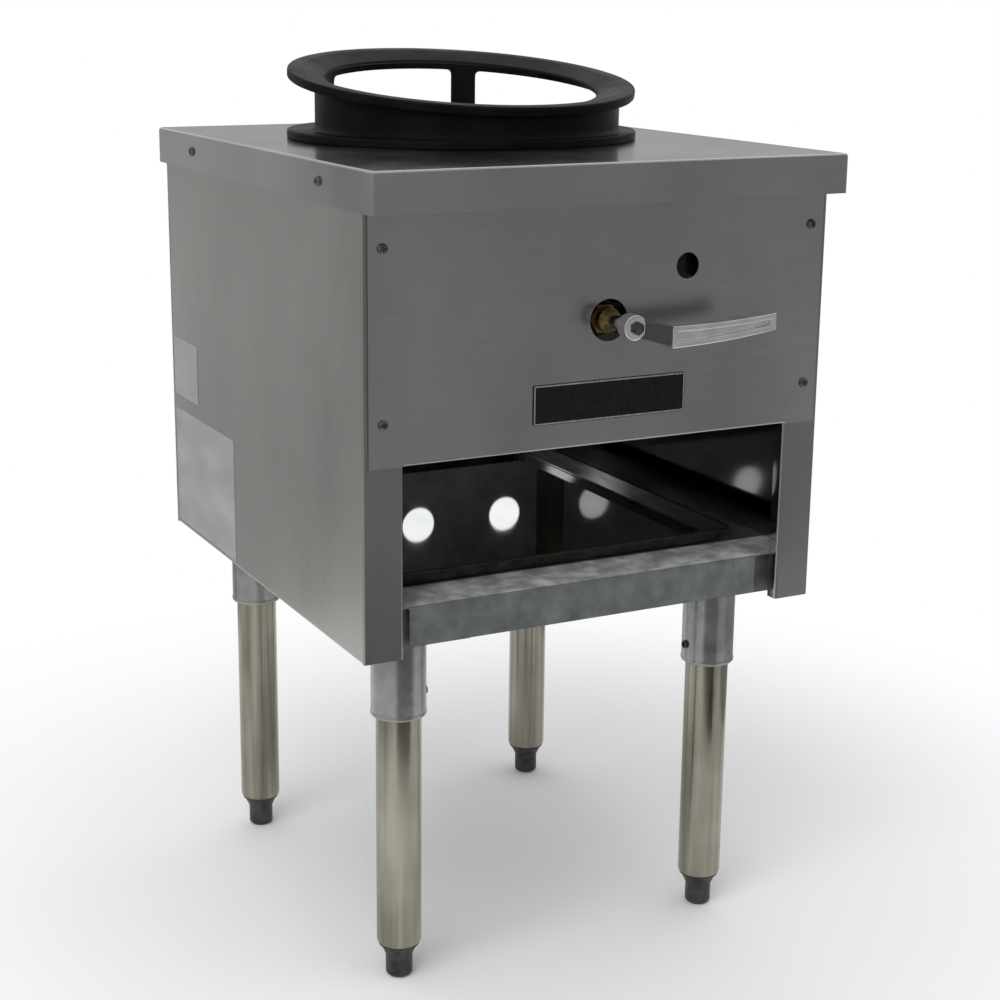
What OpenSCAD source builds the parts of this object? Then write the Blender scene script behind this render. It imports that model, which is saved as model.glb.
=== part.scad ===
// Free-standing gas wok range: a folded stainless cabinet on four round legs, with a loose slanted
// wok ring, a jet burner in a lined chamber, a lever valve on the front and an open shelf below.
// Millimetres, +Z up, the origin on the floor under the middle of the whole range.

/* [Cabinet] */
// Width across the side panels
body_w = 457; // [440:1:500]
// Depth from the front flanges to the back edge of the side panels
body_d = 496; // [480:1:540]
// Height of the cooking top above the floor
top_z = 750; // [735:1:790]
// Height of the cabinet's bottom edge above the floor
body_lift = 335; // [320:1:345]
// Thickness of the cabinet's sheet
sheet_t = 1.5; // [1:0.1:2]
// Width of the front flange beside the opening
front_flange_w = 37; // [32:1:42]
// Depth of the lip folded back along the opening's edge
opening_lip_d = 12; // [8:1:14]
// Width of the other flanges of a side panel
panel_flange_w = 20; // [14:1:20]
// Diameter of each vent hole in the back panel
vent_d = 40; // [24:1:48]
// Spacing of the vent holes
vent_pitch = 111; // [80:1:112]
// Height of the vent holes above the cabinet's bottom edge
vent_lift = 122; // [90:1:150]

/* [Top plate] */
// Height of the folded apron
apron_h = 35; // [28:1:42]
// How far the plate stands out in front of the cabinet
front_overhang = 26; // [20:1:34]
// How far the plate stands out behind the cabinet
back_overhang = 22; // [15:1:30]
// How far the burner hole's edge lies inside the outside of the ring's wall
hole_inset = 2; // [1:0.5:5]
// Spacing of the two screws on each side
side_screw_span = 326; // [260:1:360]
// Depth of the side screws below the cooking top
side_screw_drop = 17; // [12:1:22]

/* [Front panel] */
// Height of the front panel, from the cooking top to the opening
front_panel_h = 246; // [240:1:262]
// Width of the bare margin between the panel and the cabinet's corner
front_panel_margin = 5; // [3:1:8]
// Depth of the hem folded back along the panel's lower edge
front_hem_d = 16; // [10:1:18]
// Distance of the panel screws from the cabinet's corner
panel_screw_in = 18; // [14:1:22]
// Depth of the upper panel screws below the cooking top
panel_screw_drop = 64; // [56:1:74]
// Height of the lower panel screws above the opening
panel_screw_lift = 37; // [28:1:46]
// Width of the name plate
name_plate_w = 152; // [120:1:170]
// Height of the name plate
name_plate_h = 35; // [28:1:40]
// Thickness of the name plate
name_plate_t = 1.2; // [0.8:0.1:2]
// Height of the name plate's lower edge above the opening
name_plate_lift = 23; // [18:1:28]
// Sideways place of the name plate's middle
name_plate_x = 5; // [-10:1:15]

/* [Shelf and tray] */
// Height of the shelf above the cabinet's bottom edge
shelf_lift = 40; // [36:1:48]
// Depth of the front rail folded down from the shelf
rail_h = 36; // [30:1:36]
// How far the rail sits behind the cabinet's front
rail_inset = 16; // [15:1:22]
// Gap between each end of the rail and the opening's edge
rail_end_gap = 13; // [8:1:18]
// Depth of the bare lip of the shelf in front of the tray
shelf_lip_d = 42; // [30:1:50]
// Height of the drip tray
tray_h = 14; // [10:1:24]
// Thickness of the drip tray's sheet
tray_t = 1; // [0.8:0.1:1.5]
// Gap between the tray and each side of the opening
tray_side_gap = 7; // [5:1:12]
// Gap between the tray and the back panel
tray_back_gap = 12; // [6:1:20]
// Gap between a socket's plate and the walls of its base channel
channel_plate_gap = 3; // [2:0.5:5]
// Thickness of the base channel's sheet
channel_t = 2.5; // [2:0.1:3.5]
// Gap between the rail and the front end of a base channel
channel_end_gap = 4; // [2:0.5:8]

/* [Legs] */
// Distance of the legs' middles from the cabinet's sides
leg_side_in = 63.5; // [61.5:0.5:65.5]
// Spacing of the legs from front to back
leg_span_y = 364; // [340:1:372]
// Outer diameter of a leg tube
leg_d = 41.3; // [38:0.1:44]
// Wall of a leg tube
leg_wall = 1.5; // [1.2:0.1:2]
// Outer diameter of a leg socket
socket_d = 50; // [48:0.5:54]
// How far a socket hangs below the cabinet
socket_drop = 77; // [60:1:90]
// Width of the socket's square plate
socket_plate_w = 84; // [78:1:88]
// Thickness of the socket's plate
socket_plate_t = 4; // [3:0.5:6]
// Height of a set screw above the socket's lower end
set_screw_lift = 18; // [14:1:30]
// Diameter of a set screw
set_screw_d = 8; // [6:0.5:10]
// How far a set screw stands out of its socket
set_screw_reach = 2.5; // [1:0.5:4]
// Height of a bullet foot below the leg tube
foot_h = 34; // [30:1:40]
// Height of the foot's tapered shoulder
foot_shoulder_h = 13; // [10:1:16]
// Diameter of the foot's lower end
foot_d = 25; // [22:0.5:28]
// Diameter of the foot's threaded stud
foot_stud_d = 16; // [12:0.5:18]
// Length of the foot's threaded stud
foot_stud_l = 62; // [50:1:80]
// Length of the threaded plug in the leg's end
leg_plug_h = 22; // [18:1:30]

/* [Wok ring] */
// Distance of the burner's middle behind the cabinet's middle
ring_set_back = 33; // [20:1:36]
// Outer diameter of the ring's wall
ring_wall_d = 292; // [288:1:298]
// How far the base flange is wider than the wall all round
ring_flange_reach = 22.5; // [19:0.5:26]
// Thickness of the ring's base flange
ring_flange_t = 8; // [6:0.5:10]
// Thickness of the ring's wall
ring_wall_t = 8; // [6:0.5:10]
// How far the wall sits in front of the flange's middle
ring_wall_shift = 12; // [4:1:14]
// How far the flange reaches in past the wall at the back, and the rim past the wall's outside
ring_lip = 3; // [2:0.5:5]
// How far the rim is wider than the wall all round
rim_reach = 21.5; // [18:0.5:25]
// Height of the rim's middle above the cooking top
rim_h = 58.5; // [54:0.5:64]
// Slope of the rim, high at the back
rim_tilt = 7.4; // [4:0.1:9]
// Height of the rim's upright edge
rim_edge_h = 9; // [8:0.5:12]
// How far the rim's underside drops from its outer to its inner edge
rim_cone_h = 3.5; // [2:0.5:3.5]
// Thickness of the rim at its inner edge
rim_lip_h = 5; // [4:0.5:6]
// Width of the rim's flat top
rim_top_w = 13; // [7:0.5:14]
// Height of a window's sill above the cooking top
window_sill_h = 15; // [12:1:20]
// Gap between a window's head and the rim's inner edge
window_head_gap = 2.5; // [0.5:0.5:4]
// Angle of the post between the windows, from the back
post_angle = 25; // [0:0.1:32]
// Width of the post between the windows
post_w = 25; // [16:1:28]
// Angle that each window takes up
window_angle = 64; // [40:1:68]
// Depth of the skirt that centres the ring in the burner hole
ring_skirt_h = 10; // [6:1:14]
// Gap between the skirt and the burner hole
ring_skirt_gap = 2; // [1:0.5:3]

/* [Burner] */
// Depth of the combustion chamber below the top plate
chamber_depth = 158; // [150:1:160]
// How far the chamber's outside lies beyond the burner hole's edge
chamber_ledge = 14; // [11:0.5:18]
// Thickness of the chamber's shell
chamber_t = 3; // [2:0.5:4]
// Width of the chamber's top flange
chamber_flange_w = 18; // [16:0.5:22]
// Width of the chamber's floor, from its outside to the flame opening
chamber_floor_w = 53; // [50:0.5:60]
// Number of studs that hold the chamber
chamber_studs = 6; // [4:1:8]
// Diameter of each stud
chamber_stud_d = 6; // [5:0.5:8]
// Thickness of the liner at its top
liner_top_t = 9; // [6:0.5:12]
// Diameter of the burner head
burner_d = 170; // [160:1:180]
// Height of the burner head
burner_h = 24; // [22:1:28]
// Height of a burner tip
tip_h = 26; // [20:1:32]
// Diameter of a burner tip's base
tip_d = 13; // [10:0.5:15]
// Number of tips in the outer ring
outer_tips = 12; // [8:1:14]
// Number of tips in the inner ring
inner_tips = 6; // [4:1:7]
// Gap between the tips and the chamber's floor
burner_gap = 8; // [6:1:12]
// Height of the burner's foot on the cross bar
burner_foot_h = 12; // [8:1:14]
// Width of the cross bar
bar_w = 40; // [32:1:48]
// Thickness of the cross bar
bar_t = 6; // [5:0.5:7]
// Height of the cross bar's end tabs
bar_tab_h = 40; // [30:1:50]

/* [Gas line] */
// Sideways place of the valve
valve_x = 2; // [-8:1:10]
// Depth of the valve below the cooking top
valve_drop = 136.5; // [130:0.5:142]
// Distance of the valve's middle behind the cabinet's front
valve_set_back = 45; // [42:1:50]
// Diameter of the valve's barrel
valve_d = 34; // [30:1:36]
// Length of the valve's barrel
valve_l = 54; // [50:1:58]
// Length of a port boss from the valve's axis
port_l = 32; // [28:1:36]
// Diameter of a port boss
port_d = 28; // [26:1:30]
// Diameter of the ports
port_bore_d = 12; // [10:0.5:13]
// Diameter of the turning plug
plug_d = 18; // [16:0.5:20]
// Diameter of the hole in the front panel for the valve
valve_hole_d = 37; // [34:1:42]
// Diameter of the half-inch pipe
pipe_d = 21.3; // [20:0.1:23]
// Diameter of the three-quarter-inch inlet pipe
inlet_d = 26.7; // [25:0.1:28]
// Diameter over the inlet pipe's threaded end
inlet_thread_d = 25.4; // [24:0.1:26]
// Length of the inlet pipe's threaded end
inlet_thread_l = 20; // [14:1:24]
// Wall of the pipes
pipe_wall = 2.8; // [2:0.1:3.5]
// Distance of the inlet pipe's axis from the cabinet's side
inlet_side_in = 35.5; // [35:0.5:38]
// Drop of the inlet pipe below the valve
inlet_drop = 60; // [56:1:66]
// How far the inlet pipe stands out behind the side panels
inlet_reach = 44; // [36:1:60]
// Diameter of a pipe elbow's body
elbow_d = 36; // [34:1:38]
// Length of an elbow's arm from the crossing of its axes
elbow_arm = 24; // [22:1:26]
// Width of a pipe clip
clip_w = 16; // [12:1:22]
// Thickness of a pipe clip
clip_t = 2; // [1.5:0.1:3]

/* [Lever] */
// Diameter of the valve stem
stem_d = 12; // [10:0.5:13]
// Distance from the cabinet's front to the lever hub's face
hub_reach = 46; // [42:1:54]
// Diameter of the lever's hub
hub_d = 22; // [20:1:26]
// Thickness of the lever's hub
hub_t = 14; // [12:1:16]
// Distance of the grip's inner end from the stem
grip_start = 28; // [24:1:34]
// Length of the grip
grip_l = 107; // [90:1:120]
// Height of the grip at its inner end
grip_h = 18; // [15:0.5:21]
// Height of the grip at its outer end
grip_tip_h = 12; // [10:0.5:15]
// How far the grip's inner end hangs below the stem
grip_dip = 8.5; // [5:0.5:11]
// How far the grip rises towards its outer end
grip_rise = 7.5; // [4:0.5:10]
// Depth of the channelled grip
grip_d = 14; // [11:1:17]
// Thickness of the grip's sheet
grip_t = 3; // [2:0.5:4]

/* [Pilot] */
// Sideways distance of the pilot hole from the valve
pilot_dx = 78.5; // [72:0.5:84]
// Depth of the pilot hole below the cooking top
pilot_drop = 94; // [86:1:100]
// Diameter of the pilot hole
pilot_hole_d = 23; // [18:0.5:26]
// Diameter of the pilot valve's barrel
pilot_d = 16; // [14:0.5:18]
// Diameter of the pilot's adjusting screw
pilot_screw_d = 8; // [6:0.5:9]
// Diameter of the pilot tube
pilot_tube_d = 6.4; // [5:0.1:8]
// Radius of the pilot tube's bends
pilot_bend_r = 15; // [12:1:18]
// Diameter of the pilot burner
pilot_burner_d = 14; // [12:0.5:16]
// Gap between the pilot burner and the burner head
pilot_gap = 7; // [5:0.5:10]

/* [Stickers] */
// Depth of the lower sticker
sticker_w = 176; // [120:1:190]
// Height of the lower sticker
sticker_h = 122; // [90:1:130]
// Depth of the upper sticker
small_sticker_w = 72; // [50:1:90]
// Height of the upper sticker
small_sticker_h = 60; // [40:1:66]
// Thickness of the stickers
sticker_t = 0.4; // [0.3:0.05:0.6]
// Distance of the stickers from the back edge
sticker_margin = 6; // [4:1:12]
// Distance of the lower sticker from the cabinet's bottom edge
sticker_lift = 5; // [4:1:10]
// Gap between the two stickers
sticker_gap = 15; // [8:1:20]

/* [Screws] */
// Diameter of a sheet-metal screw's shank
screw_d = 4; // [3:0.1:5]
// Diameter of a sheet-metal screw's head
screw_head_d = 9; // [8:0.5:10]
// Height of a sheet-metal screw's head
screw_head_h = 2.6; // [2:0.1:3.5]
// Length of a sheet-metal screw's shank
screw_l = 10; // [8:0.5:11]

/* [Hidden] */
$fn = 64;

// Overrun of every cut
cut = 1;
// Gap between fixed pieces that slip into each other
fit = 0.2;
// Gap of the turning valve plug, stem and adjusting screw
run_fit = 0.05;
// Gap between a sliding piece and what it rests on
slide_gap = 0.3;

// Places of the cabinet's faces
lever_reach = hub_reach + grip_d;
front_y = lever_reach - (lever_reach + body_d + inlet_reach) / 2;
back_y = front_y + body_d;
body_y = front_y + body_d / 2;
side_x = body_w / 2;
inner_x = side_x - sheet_t;
panel_top_z = top_z - sheet_t;
opening_x = side_x - front_flange_w;
opening_top_z = top_z - front_panel_h;
shelf_z = body_lift + shelf_lift;
panel_face_y = front_y - sheet_t;
front_panel_x = side_x - front_panel_margin;
panel_screw_x = side_x - panel_screw_in;
panel_screw_zs = [top_z - panel_screw_drop, opening_top_z + panel_screw_lift];
side_screw_ys = [body_y - side_screw_span / 2, body_y + side_screw_span / 2];
side_screw_z = top_z - side_screw_drop;
back_screw_x = side_x - panel_flange_w / 2;
back_screw_edge_share = 0.12;
back_screw_rise = (panel_top_z - body_lift) * back_screw_edge_share;
back_screw_zs = [body_lift + back_screw_rise, (body_lift + panel_top_z) / 2, panel_top_z - back_screw_rise];
vent_xs = [for (place = [-3, -1, 1, 3]) place * vent_pitch / 2];
vent_z = body_lift + vent_lift;

// Places of the shelf, the channels and the legs
rail_y = front_y + rail_inset;
rail_x = opening_x - rail_end_gap;
shelf_x = inner_x - fit;
tray_x = opening_x - tray_side_gap;
tray_front_y = rail_y + shelf_lip_d;
tray_back_y = back_y - tray_back_gap;
plate_to_channel = socket_plate_w / 2 + channel_plate_gap + channel_t;
channel_out_x = inner_x - fit;
channel_in_x = side_x - leg_side_in - plate_to_channel;
channel_front_y = rail_y + sheet_t + channel_end_gap;
leg_span_x = body_w - 2 * leg_side_in;
leg_front_y = channel_front_y + plate_to_channel;
leg_xs = [-leg_span_x / 2, leg_span_x / 2];
leg_ys = [leg_front_y, leg_front_y + leg_span_y];
channel_back_y = leg_ys[1] + plate_to_channel;
channel_top_z = shelf_z - sheet_t;
channel_bottom_z = body_lift + sheet_t;
socket_top_z = channel_top_z - channel_t;
socket_bottom_z = body_lift - socket_drop;
socket_bore_d = leg_d + 2 * fit;
leg_top_z = socket_top_z - socket_plate_t - fit;
leg_bore_d = leg_d - 2 * leg_wall;
foot_rest_gap = slide_gap;
leg_bottom_z = foot_h + foot_rest_gap;
set_screw_z = socket_bottom_z + set_screw_lift;

// Places of the burner stack, from the top plate down
ring_y = body_y + ring_set_back;
wall_y = ring_y - ring_wall_shift;
ring_flange_d = ring_wall_d + 2 * ring_flange_reach;
rim_d = ring_wall_d + 2 * rim_reach;
rim_taper_h = rim_edge_h + rim_cone_h;
window_head_drop = rim_taper_h + window_head_gap;
plate_hole_d = ring_wall_d - 2 * hole_inset;
chamber_d = plate_hole_d + 2 * chamber_ledge;
chamber_flange_d = chamber_d + 2 * chamber_flange_w;
chamber_mouth_d = chamber_d - 2 * chamber_floor_w;
chamber_bottom_z = panel_top_z - chamber_depth;
chamber_in_d = chamber_d - 2 * chamber_t;
chamber_stud_r = (chamber_flange_d + chamber_d) / 4;
tip_top_z = chamber_bottom_z - burner_gap;
burner_deck_z = tip_top_z - tip_h;
burner_bottom_z = burner_deck_z - burner_h;
bar_top_z = burner_bottom_z - burner_foot_h;
burner_pipe_z = burner_bottom_z + burner_h / 2;
outer_tip_share = 0.8;
inner_tip_share = 0.38;
outer_tip_r = outer_tip_share * burner_d / 2;
inner_tip_r = inner_tip_share * burner_d / 2;

// Places of the gas line
valve_y = front_y + valve_set_back;
valve_z = top_z - valve_drop;
barrel_front_y = valve_y - valve_l / 2;
plug_l_share = 0.8;
plug_l = plug_l_share * valve_l;
bonnet_d_share = 0.82;
bonnet_d = bonnet_d_share * valve_d;
bonnet_nose_y = panel_face_y - sheet_t;
hub_face_y = front_y - hub_reach;
inlet_x = side_x - inlet_side_in;
inlet_z = valve_z - inlet_drop;
inlet_end_y = back_y + inlet_reach;
burner_inlet_l_share = 0.3;
burner_inlet_y = ring_y - burner_d / 2 - burner_inlet_l_share * burner_d / 2;
clip_shares = [0.3, 0.8];
clip_ys = [for (share = clip_shares) valve_y + share * (back_y - valve_y)];

// Places of the pilot
pilot_x = valve_x + pilot_dx;
pilot_z = top_z - pilot_drop;
pilot_l_share = 0.7;
pilot_l = pilot_l_share * valve_set_back;
pilot_front_y = valve_y - pilot_l / 2;
pilot_back_y = valve_y + pilot_l / 2;
pilot_burner_r = burner_d / 2 + pilot_gap + pilot_burner_d / 2;
pilot_burner_y = ring_y - sqrt(pilot_burner_r * pilot_burner_r - pilot_x * pilot_x);
pilot_tube_z = burner_bottom_z + burner_h / 2;
pilot_drop_y = pilot_back_y + 2 * pilot_bend_r;

// A block given by two opposite corners
module block(low, high) {
    translate(low)
        cube(high - low);
}

// Round rods that start at a point and run along +X, +Y or +Z
module rod_x(start, d, l) {
    translate(start)
        rotate([0, 90, 0])
            cylinder(d = d, h = l);
}

module rod_y(start, d, l) {
    translate(start)
        rotate([-90, 0, 0])
            cylinder(d = d, h = l);
}

module rod_z(start, d, l) {
    translate(start)
        cylinder(d = d, h = l);
}

// A pan-head screw along +Z, seated at the origin with its shank pointing down
module pan_screw() {
    head_top_share = 0.6;
    cylinder(d1 = screw_head_d, d2 = head_top_share * screw_head_d, h = screw_head_h);
    translate([0, 0, -screw_l])
        cylinder(d = screw_d, h = screw_l);
}

// Folded top plate that laps over the side panels
module top_plate() {
    color([0.63, 0.62, 0.61])
        difference() {
            block(
                [-side_x - sheet_t, front_y - front_overhang, top_z - apron_h],
                [side_x + sheet_t, back_y + back_overhang, top_z]
            );
            block(
                [-side_x, front_y - front_overhang + sheet_t, top_z - apron_h - cut],
                [side_x, back_y + back_overhang - sheet_t, panel_top_z]
            );
            rod_z([0, ring_y, panel_top_z - cut], plate_hole_d, sheet_t + 2 * cut);
            for (y = side_screw_ys)
                rod_x([-side_x - sheet_t - cut, y, side_screw_z], screw_d + 2 * fit, body_w + 2 * sheet_t + 2 * cut);
        }
}

// Right-hand side panel with its flanges; the left one is its mirror image
module side_panel() {
    color([0.5, 0.49, 0.48])
        difference() {
            union() {
                block([inner_x, front_y, body_lift], [side_x, back_y, panel_top_z]);
                block([opening_x, front_y, body_lift], [side_x, front_y + sheet_t, panel_top_z]);
                block(
                    [opening_x, front_y, body_lift],
                    [opening_x + sheet_t, front_y + opening_lip_d, panel_top_z]
                );
                block(
                    [side_x - panel_flange_w, back_y - sheet_t, body_lift],
                    [side_x, back_y, panel_top_z]
                );
                block(
                    [side_x - panel_flange_w, front_y, panel_top_z - sheet_t],
                    [side_x, back_y, panel_top_z]
                );
                block(
                    [side_x - panel_flange_w, front_y, body_lift],
                    [side_x, back_y, body_lift + sheet_t]
                );
            }
            for (z = panel_screw_zs)
                rod_y([panel_screw_x, front_y - cut, z], screw_d + 2 * fit, sheet_t + 2 * cut);
            for (z = back_screw_zs)
                rod_y([back_screw_x, back_y - sheet_t - cut, z], screw_d + 2 * fit, sheet_t + 2 * cut);
            for (y = side_screw_ys)
                rod_x([inner_x - cut, y, side_screw_z], screw_d + 2 * fit, sheet_t + 2 * cut);
        }
}

module right_side_panel() {
    side_panel();
}

module left_side_panel() {
    mirror([1, 0, 0])
        side_panel();
}

// Front panel laid over the front flanges, with a hem along the opening
module front_panel() {
    color([0.43, 0.42, 0.41])
        difference() {
            union() {
                block(
                    [-front_panel_x, panel_face_y, opening_top_z],
                    [front_panel_x, front_y, panel_top_z]
                );
                block(
                    [-opening_x + fit, panel_face_y, opening_top_z],
                    [opening_x - fit, front_y + front_hem_d, opening_top_z + sheet_t]
                );
            }
            rod_y([valve_x, panel_face_y - cut, valve_z], valve_hole_d, sheet_t + 2 * cut);
            rod_y([pilot_x, panel_face_y - cut, pilot_z], pilot_hole_d, sheet_t + 2 * cut);
            for (x = [-panel_screw_x, panel_screw_x], z = panel_screw_zs)
                rod_y([x, panel_face_y - cut, z], screw_d + 2 * fit, sheet_t + 2 * cut);
        }
}

// Back panel laid over the rear flanges, with a row of vents and the inlet hole
module back_panel() {
    color([0.5, 0.51, 0.52])
        difference() {
            block([-side_x, back_y, body_lift], [side_x, back_y + sheet_t, panel_top_z]);
            for (x = vent_xs)
                rod_y([x, back_y - cut, vent_z], vent_d, sheet_t + 2 * cut);
            rod_y([inlet_x, back_y - cut, inlet_z], inlet_d + 2 * fit, sheet_t + 2 * cut);
            for (x = [-back_screw_x, back_screw_x], z = back_screw_zs)
                rod_y([x, back_y - cut, z], screw_d + 2 * fit, sheet_t + 2 * cut);
        }
}

// Bottom shelf with its front rail folded down
module base_shelf() {
    color([0.56, 0.6, 0.62]) {
        block([-shelf_x, rail_y, shelf_z - sheet_t], [shelf_x, back_y - sheet_t - fit, shelf_z]);
        block([-rail_x, rail_y, shelf_z - rail_h], [rail_x, rail_y + sheet_t, shelf_z]);
    }
}

// Right-hand base channel with closed ends, open below, on the side panel's bottom flange
module base_channel() {
    wall = [channel_t, channel_t];
    low = [channel_in_x, channel_front_y];
    high = [channel_out_x, channel_back_y];
    color([0.55, 0.58, 0.6])
        difference() {
            block(concat(low, channel_bottom_z), concat(high, channel_top_z));
            block(concat(low + wall, channel_bottom_z - cut), concat(high - wall, socket_top_z));
        }
}

module right_base_channel() {
    base_channel();
}

module left_base_channel() {
    mirror([1, 0, 0])
        base_channel();
}

// Shiny drip tray that draws out through the opening
module drip_tray() {
    tray_floor_z = shelf_z + slide_gap;
    color([0.2, 0.21, 0.21])
        difference() {
            block([-tray_x, tray_front_y, tray_floor_z], [tray_x, tray_back_y, tray_floor_z + tray_h]);
            block(
                [-tray_x + tray_t, tray_front_y + tray_t, tray_floor_z + tray_t],
                [tray_x - tray_t, tray_back_y - tray_t, tray_floor_z + tray_h + cut]
            );
        }
}

// Leg socket welded under a base channel: a square plate and a round sleeve
module leg_socket(x, y) {
    inward = x > 0 ? -1 : 1;
    color([0.62, 0.63, 0.64])
        difference() {
            union() {
                translate([x, y, socket_top_z - socket_plate_t / 2])
                    cube([socket_plate_w, socket_plate_w, socket_plate_t], center = true);
                rod_z([x, y, socket_bottom_z], socket_d, socket_top_z - socket_bottom_z);
            }
            rod_z([x, y, socket_bottom_z - cut], socket_bore_d, leg_top_z + fit + cut - socket_bottom_z);
            translate([x, y, set_screw_z])
                rotate([0, inward * 90, 0])
                    cylinder(d = set_screw_d + 2 * fit, h = socket_d);
        }
}

module front_left_socket() {
    leg_socket(leg_xs[0], leg_ys[0]);
}

module front_right_socket() {
    leg_socket(leg_xs[1], leg_ys[0]);
}

module rear_left_socket() {
    leg_socket(leg_xs[0], leg_ys[1]);
}

module rear_right_socket() {
    leg_socket(leg_xs[1], leg_ys[1]);
}

// Round leg tube pushed up into its socket
module leg_tube(x, y) {
    color([0.66, 0.65, 0.6])
        difference() {
            rod_z([x, y, leg_bottom_z], leg_d, leg_top_z - leg_bottom_z);
            rod_z([x, y, leg_bottom_z - cut], leg_bore_d, leg_top_z - leg_bottom_z + 2 * cut);
        }
}

module front_left_leg() {
    leg_tube(leg_xs[0], leg_ys[0]);
}

module front_right_leg() {
    leg_tube(leg_xs[1], leg_ys[0]);
}

module rear_left_leg() {
    leg_tube(leg_xs[0], leg_ys[1]);
}

module rear_right_leg() {
    leg_tube(leg_xs[1], leg_ys[1]);
}

// Bullet foot: a tapered shoulder over a straight end, on a threaded stud
module bullet_foot(x, y) {
    foot_edge_share = 0.12;
    foot_edge = foot_edge_share * foot_d;
    shoulder_z = foot_h - foot_shoulder_h;
    color([0.2, 0.2, 0.2])
        translate([x, y, 0]) {
            rotate_extrude()
                polygon([
                    [0, 0],
                    [foot_d / 2 - foot_edge, 0],
                    [foot_d / 2, foot_edge],
                    [foot_d / 2, shoulder_z],
                    [leg_bore_d / 2, foot_h],
                    [0, foot_h]
                ]);
            cylinder(d = foot_stud_d, h = foot_h + foot_stud_l);
        }
}

module front_left_foot() {
    bullet_foot(leg_xs[0], leg_ys[0]);
}

module front_right_foot() {
    bullet_foot(leg_xs[1], leg_ys[0]);
}

module rear_left_foot() {
    bullet_foot(leg_xs[0], leg_ys[1]);
}

module rear_right_foot() {
    bullet_foot(leg_xs[1], leg_ys[1]);
}

// Threaded plugs pressed into the leg ends
module leg_plugs() {
    color([0.35, 0.35, 0.36])
        for (x = leg_xs, y = leg_ys)
            difference() {
                rod_z([x, y, leg_bottom_z], leg_bore_d - 2 * fit, leg_plug_h);
                rod_z([x, y, leg_bottom_z - cut], foot_stud_d + 2 * run_fit, leg_plug_h + 2 * cut);
            }
}

// Set screws that lock the legs, on the inward side of each socket
module socket_set_screws() {
    set_screw_start = leg_d / 2 + fit;
    color([0.4, 0.4, 0.41])
        for (x = leg_xs, y = leg_ys)
            translate([x, y, set_screw_z])
                rotate([0, x > 0 ? -90 : 90, 0])
                    translate([0, 0, set_screw_start])
                        cylinder(d = set_screw_d, h = socket_d / 2 + set_screw_reach - set_screw_start);
}

// The space under a plane that lies a given drop below the rim's top
module below_rim(drop) {
    reach = ring_flange_d;
    translate([0, ring_y, top_z + rim_h])
        rotate([rim_tilt, 0, 0])
            translate([-reach, -reach, -drop - 2 * reach])
                cube(2 * reach);
}

// A wedge of the ring between two angles counted from the back
module ring_wedge(from_angle, to_angle) {
    reach = ring_flange_d;
    steps = 3;
    angles = [for (i = [0 : steps]) from_angle + (to_angle - from_angle) * i / steps];
    translate([0, wall_y, top_z + window_sill_h])
        linear_extrude(height = reach)
            polygon(concat([[0, 0]], [for (a = angles) reach * [sin(a), cos(a)]]));
}

// Slanted wok ring: flange, wall with two windows at the back, tapered rim and centring skirt
module wok_ring() {
    wall_r = ring_wall_d / 2;
    rim_r = rim_d / 2;
    rim_in_r = wall_r - ring_wall_shift - ring_lip;
    flange_in_r = rim_in_r - ring_wall_t;
    wall_start_z = top_z + ring_flange_t / 2;
    skirt_d = plate_hole_d - 2 * ring_skirt_gap;
    half_post = asin(post_w / ring_wall_d);
    window_angles = [
        [post_angle - half_post - window_angle, post_angle - half_post],
        [post_angle + half_post, post_angle + half_post + window_angle]
    ];
    color([0.09, 0.09, 0.09]) {
        difference() {
            union() {
                rod_z([0, ring_y, top_z], ring_flange_d, ring_flange_t);
                rod_z([0, ring_y, top_z - ring_skirt_h], skirt_d, ring_skirt_h);
            }
            rod_z([0, ring_y, top_z - ring_skirt_h - cut], 2 * flange_in_r,
                ring_skirt_h + ring_flange_t + 2 * cut);
        }
        difference() {
            union() {
                difference() {
                    intersection() {
                        rod_z([0, wall_y, wall_start_z], ring_wall_d, 2 * rim_h);
                        below_rim(rim_edge_h);
                    }
                    rod_z([0, wall_y, top_z], ring_wall_d - 2 * ring_wall_t, 2 * rim_h + 2 * ring_flange_t);
                }
                translate([0, ring_y, top_z + rim_h])
                    rotate([rim_tilt, 0, 0])
                        rotate_extrude()
                            polygon([
                                [rim_r - rim_top_w, 0],
                                [rim_r, 0],
                                [rim_r, -rim_edge_h],
                                [rim_in_r, -rim_taper_h],
                                [rim_in_r, rim_lip_h - rim_taper_h]
                            ]);
            }
            for (pair = window_angles)
                intersection() {
                    ring_wedge(pair[0], pair[1]);
                    below_rim(window_head_drop);
                }
        }
    }
}

// Steel shell hung under the top plate, with a lip that carries the liner
module combustion_chamber() {
    color([0.22, 0.22, 0.22])
        difference() {
            union() {
                rod_z([0, ring_y, panel_top_z - chamber_t], chamber_flange_d, chamber_t);
                rod_z([0, ring_y, chamber_bottom_z], chamber_d, chamber_depth);
            }
            rod_z([0, ring_y, chamber_bottom_z + chamber_t], chamber_in_d, chamber_depth);
            rod_z([0, ring_y, chamber_bottom_z - cut], chamber_mouth_d, chamber_t + 2 * cut);
            for (i = [0 : chamber_studs - 1])
                rotate_about_burner(i * 360 / chamber_studs)
                    rod_z([chamber_stud_r, 0, panel_top_z - chamber_t - cut], chamber_stud_d + 2 * fit, chamber_t + 2 * cut);
        }
}

// Turns what follows about the burner's axis
module rotate_about_burner(angle) {
    translate([0, ring_y, 0])
        rotate([0, 0, angle])
            children();
}

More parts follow.
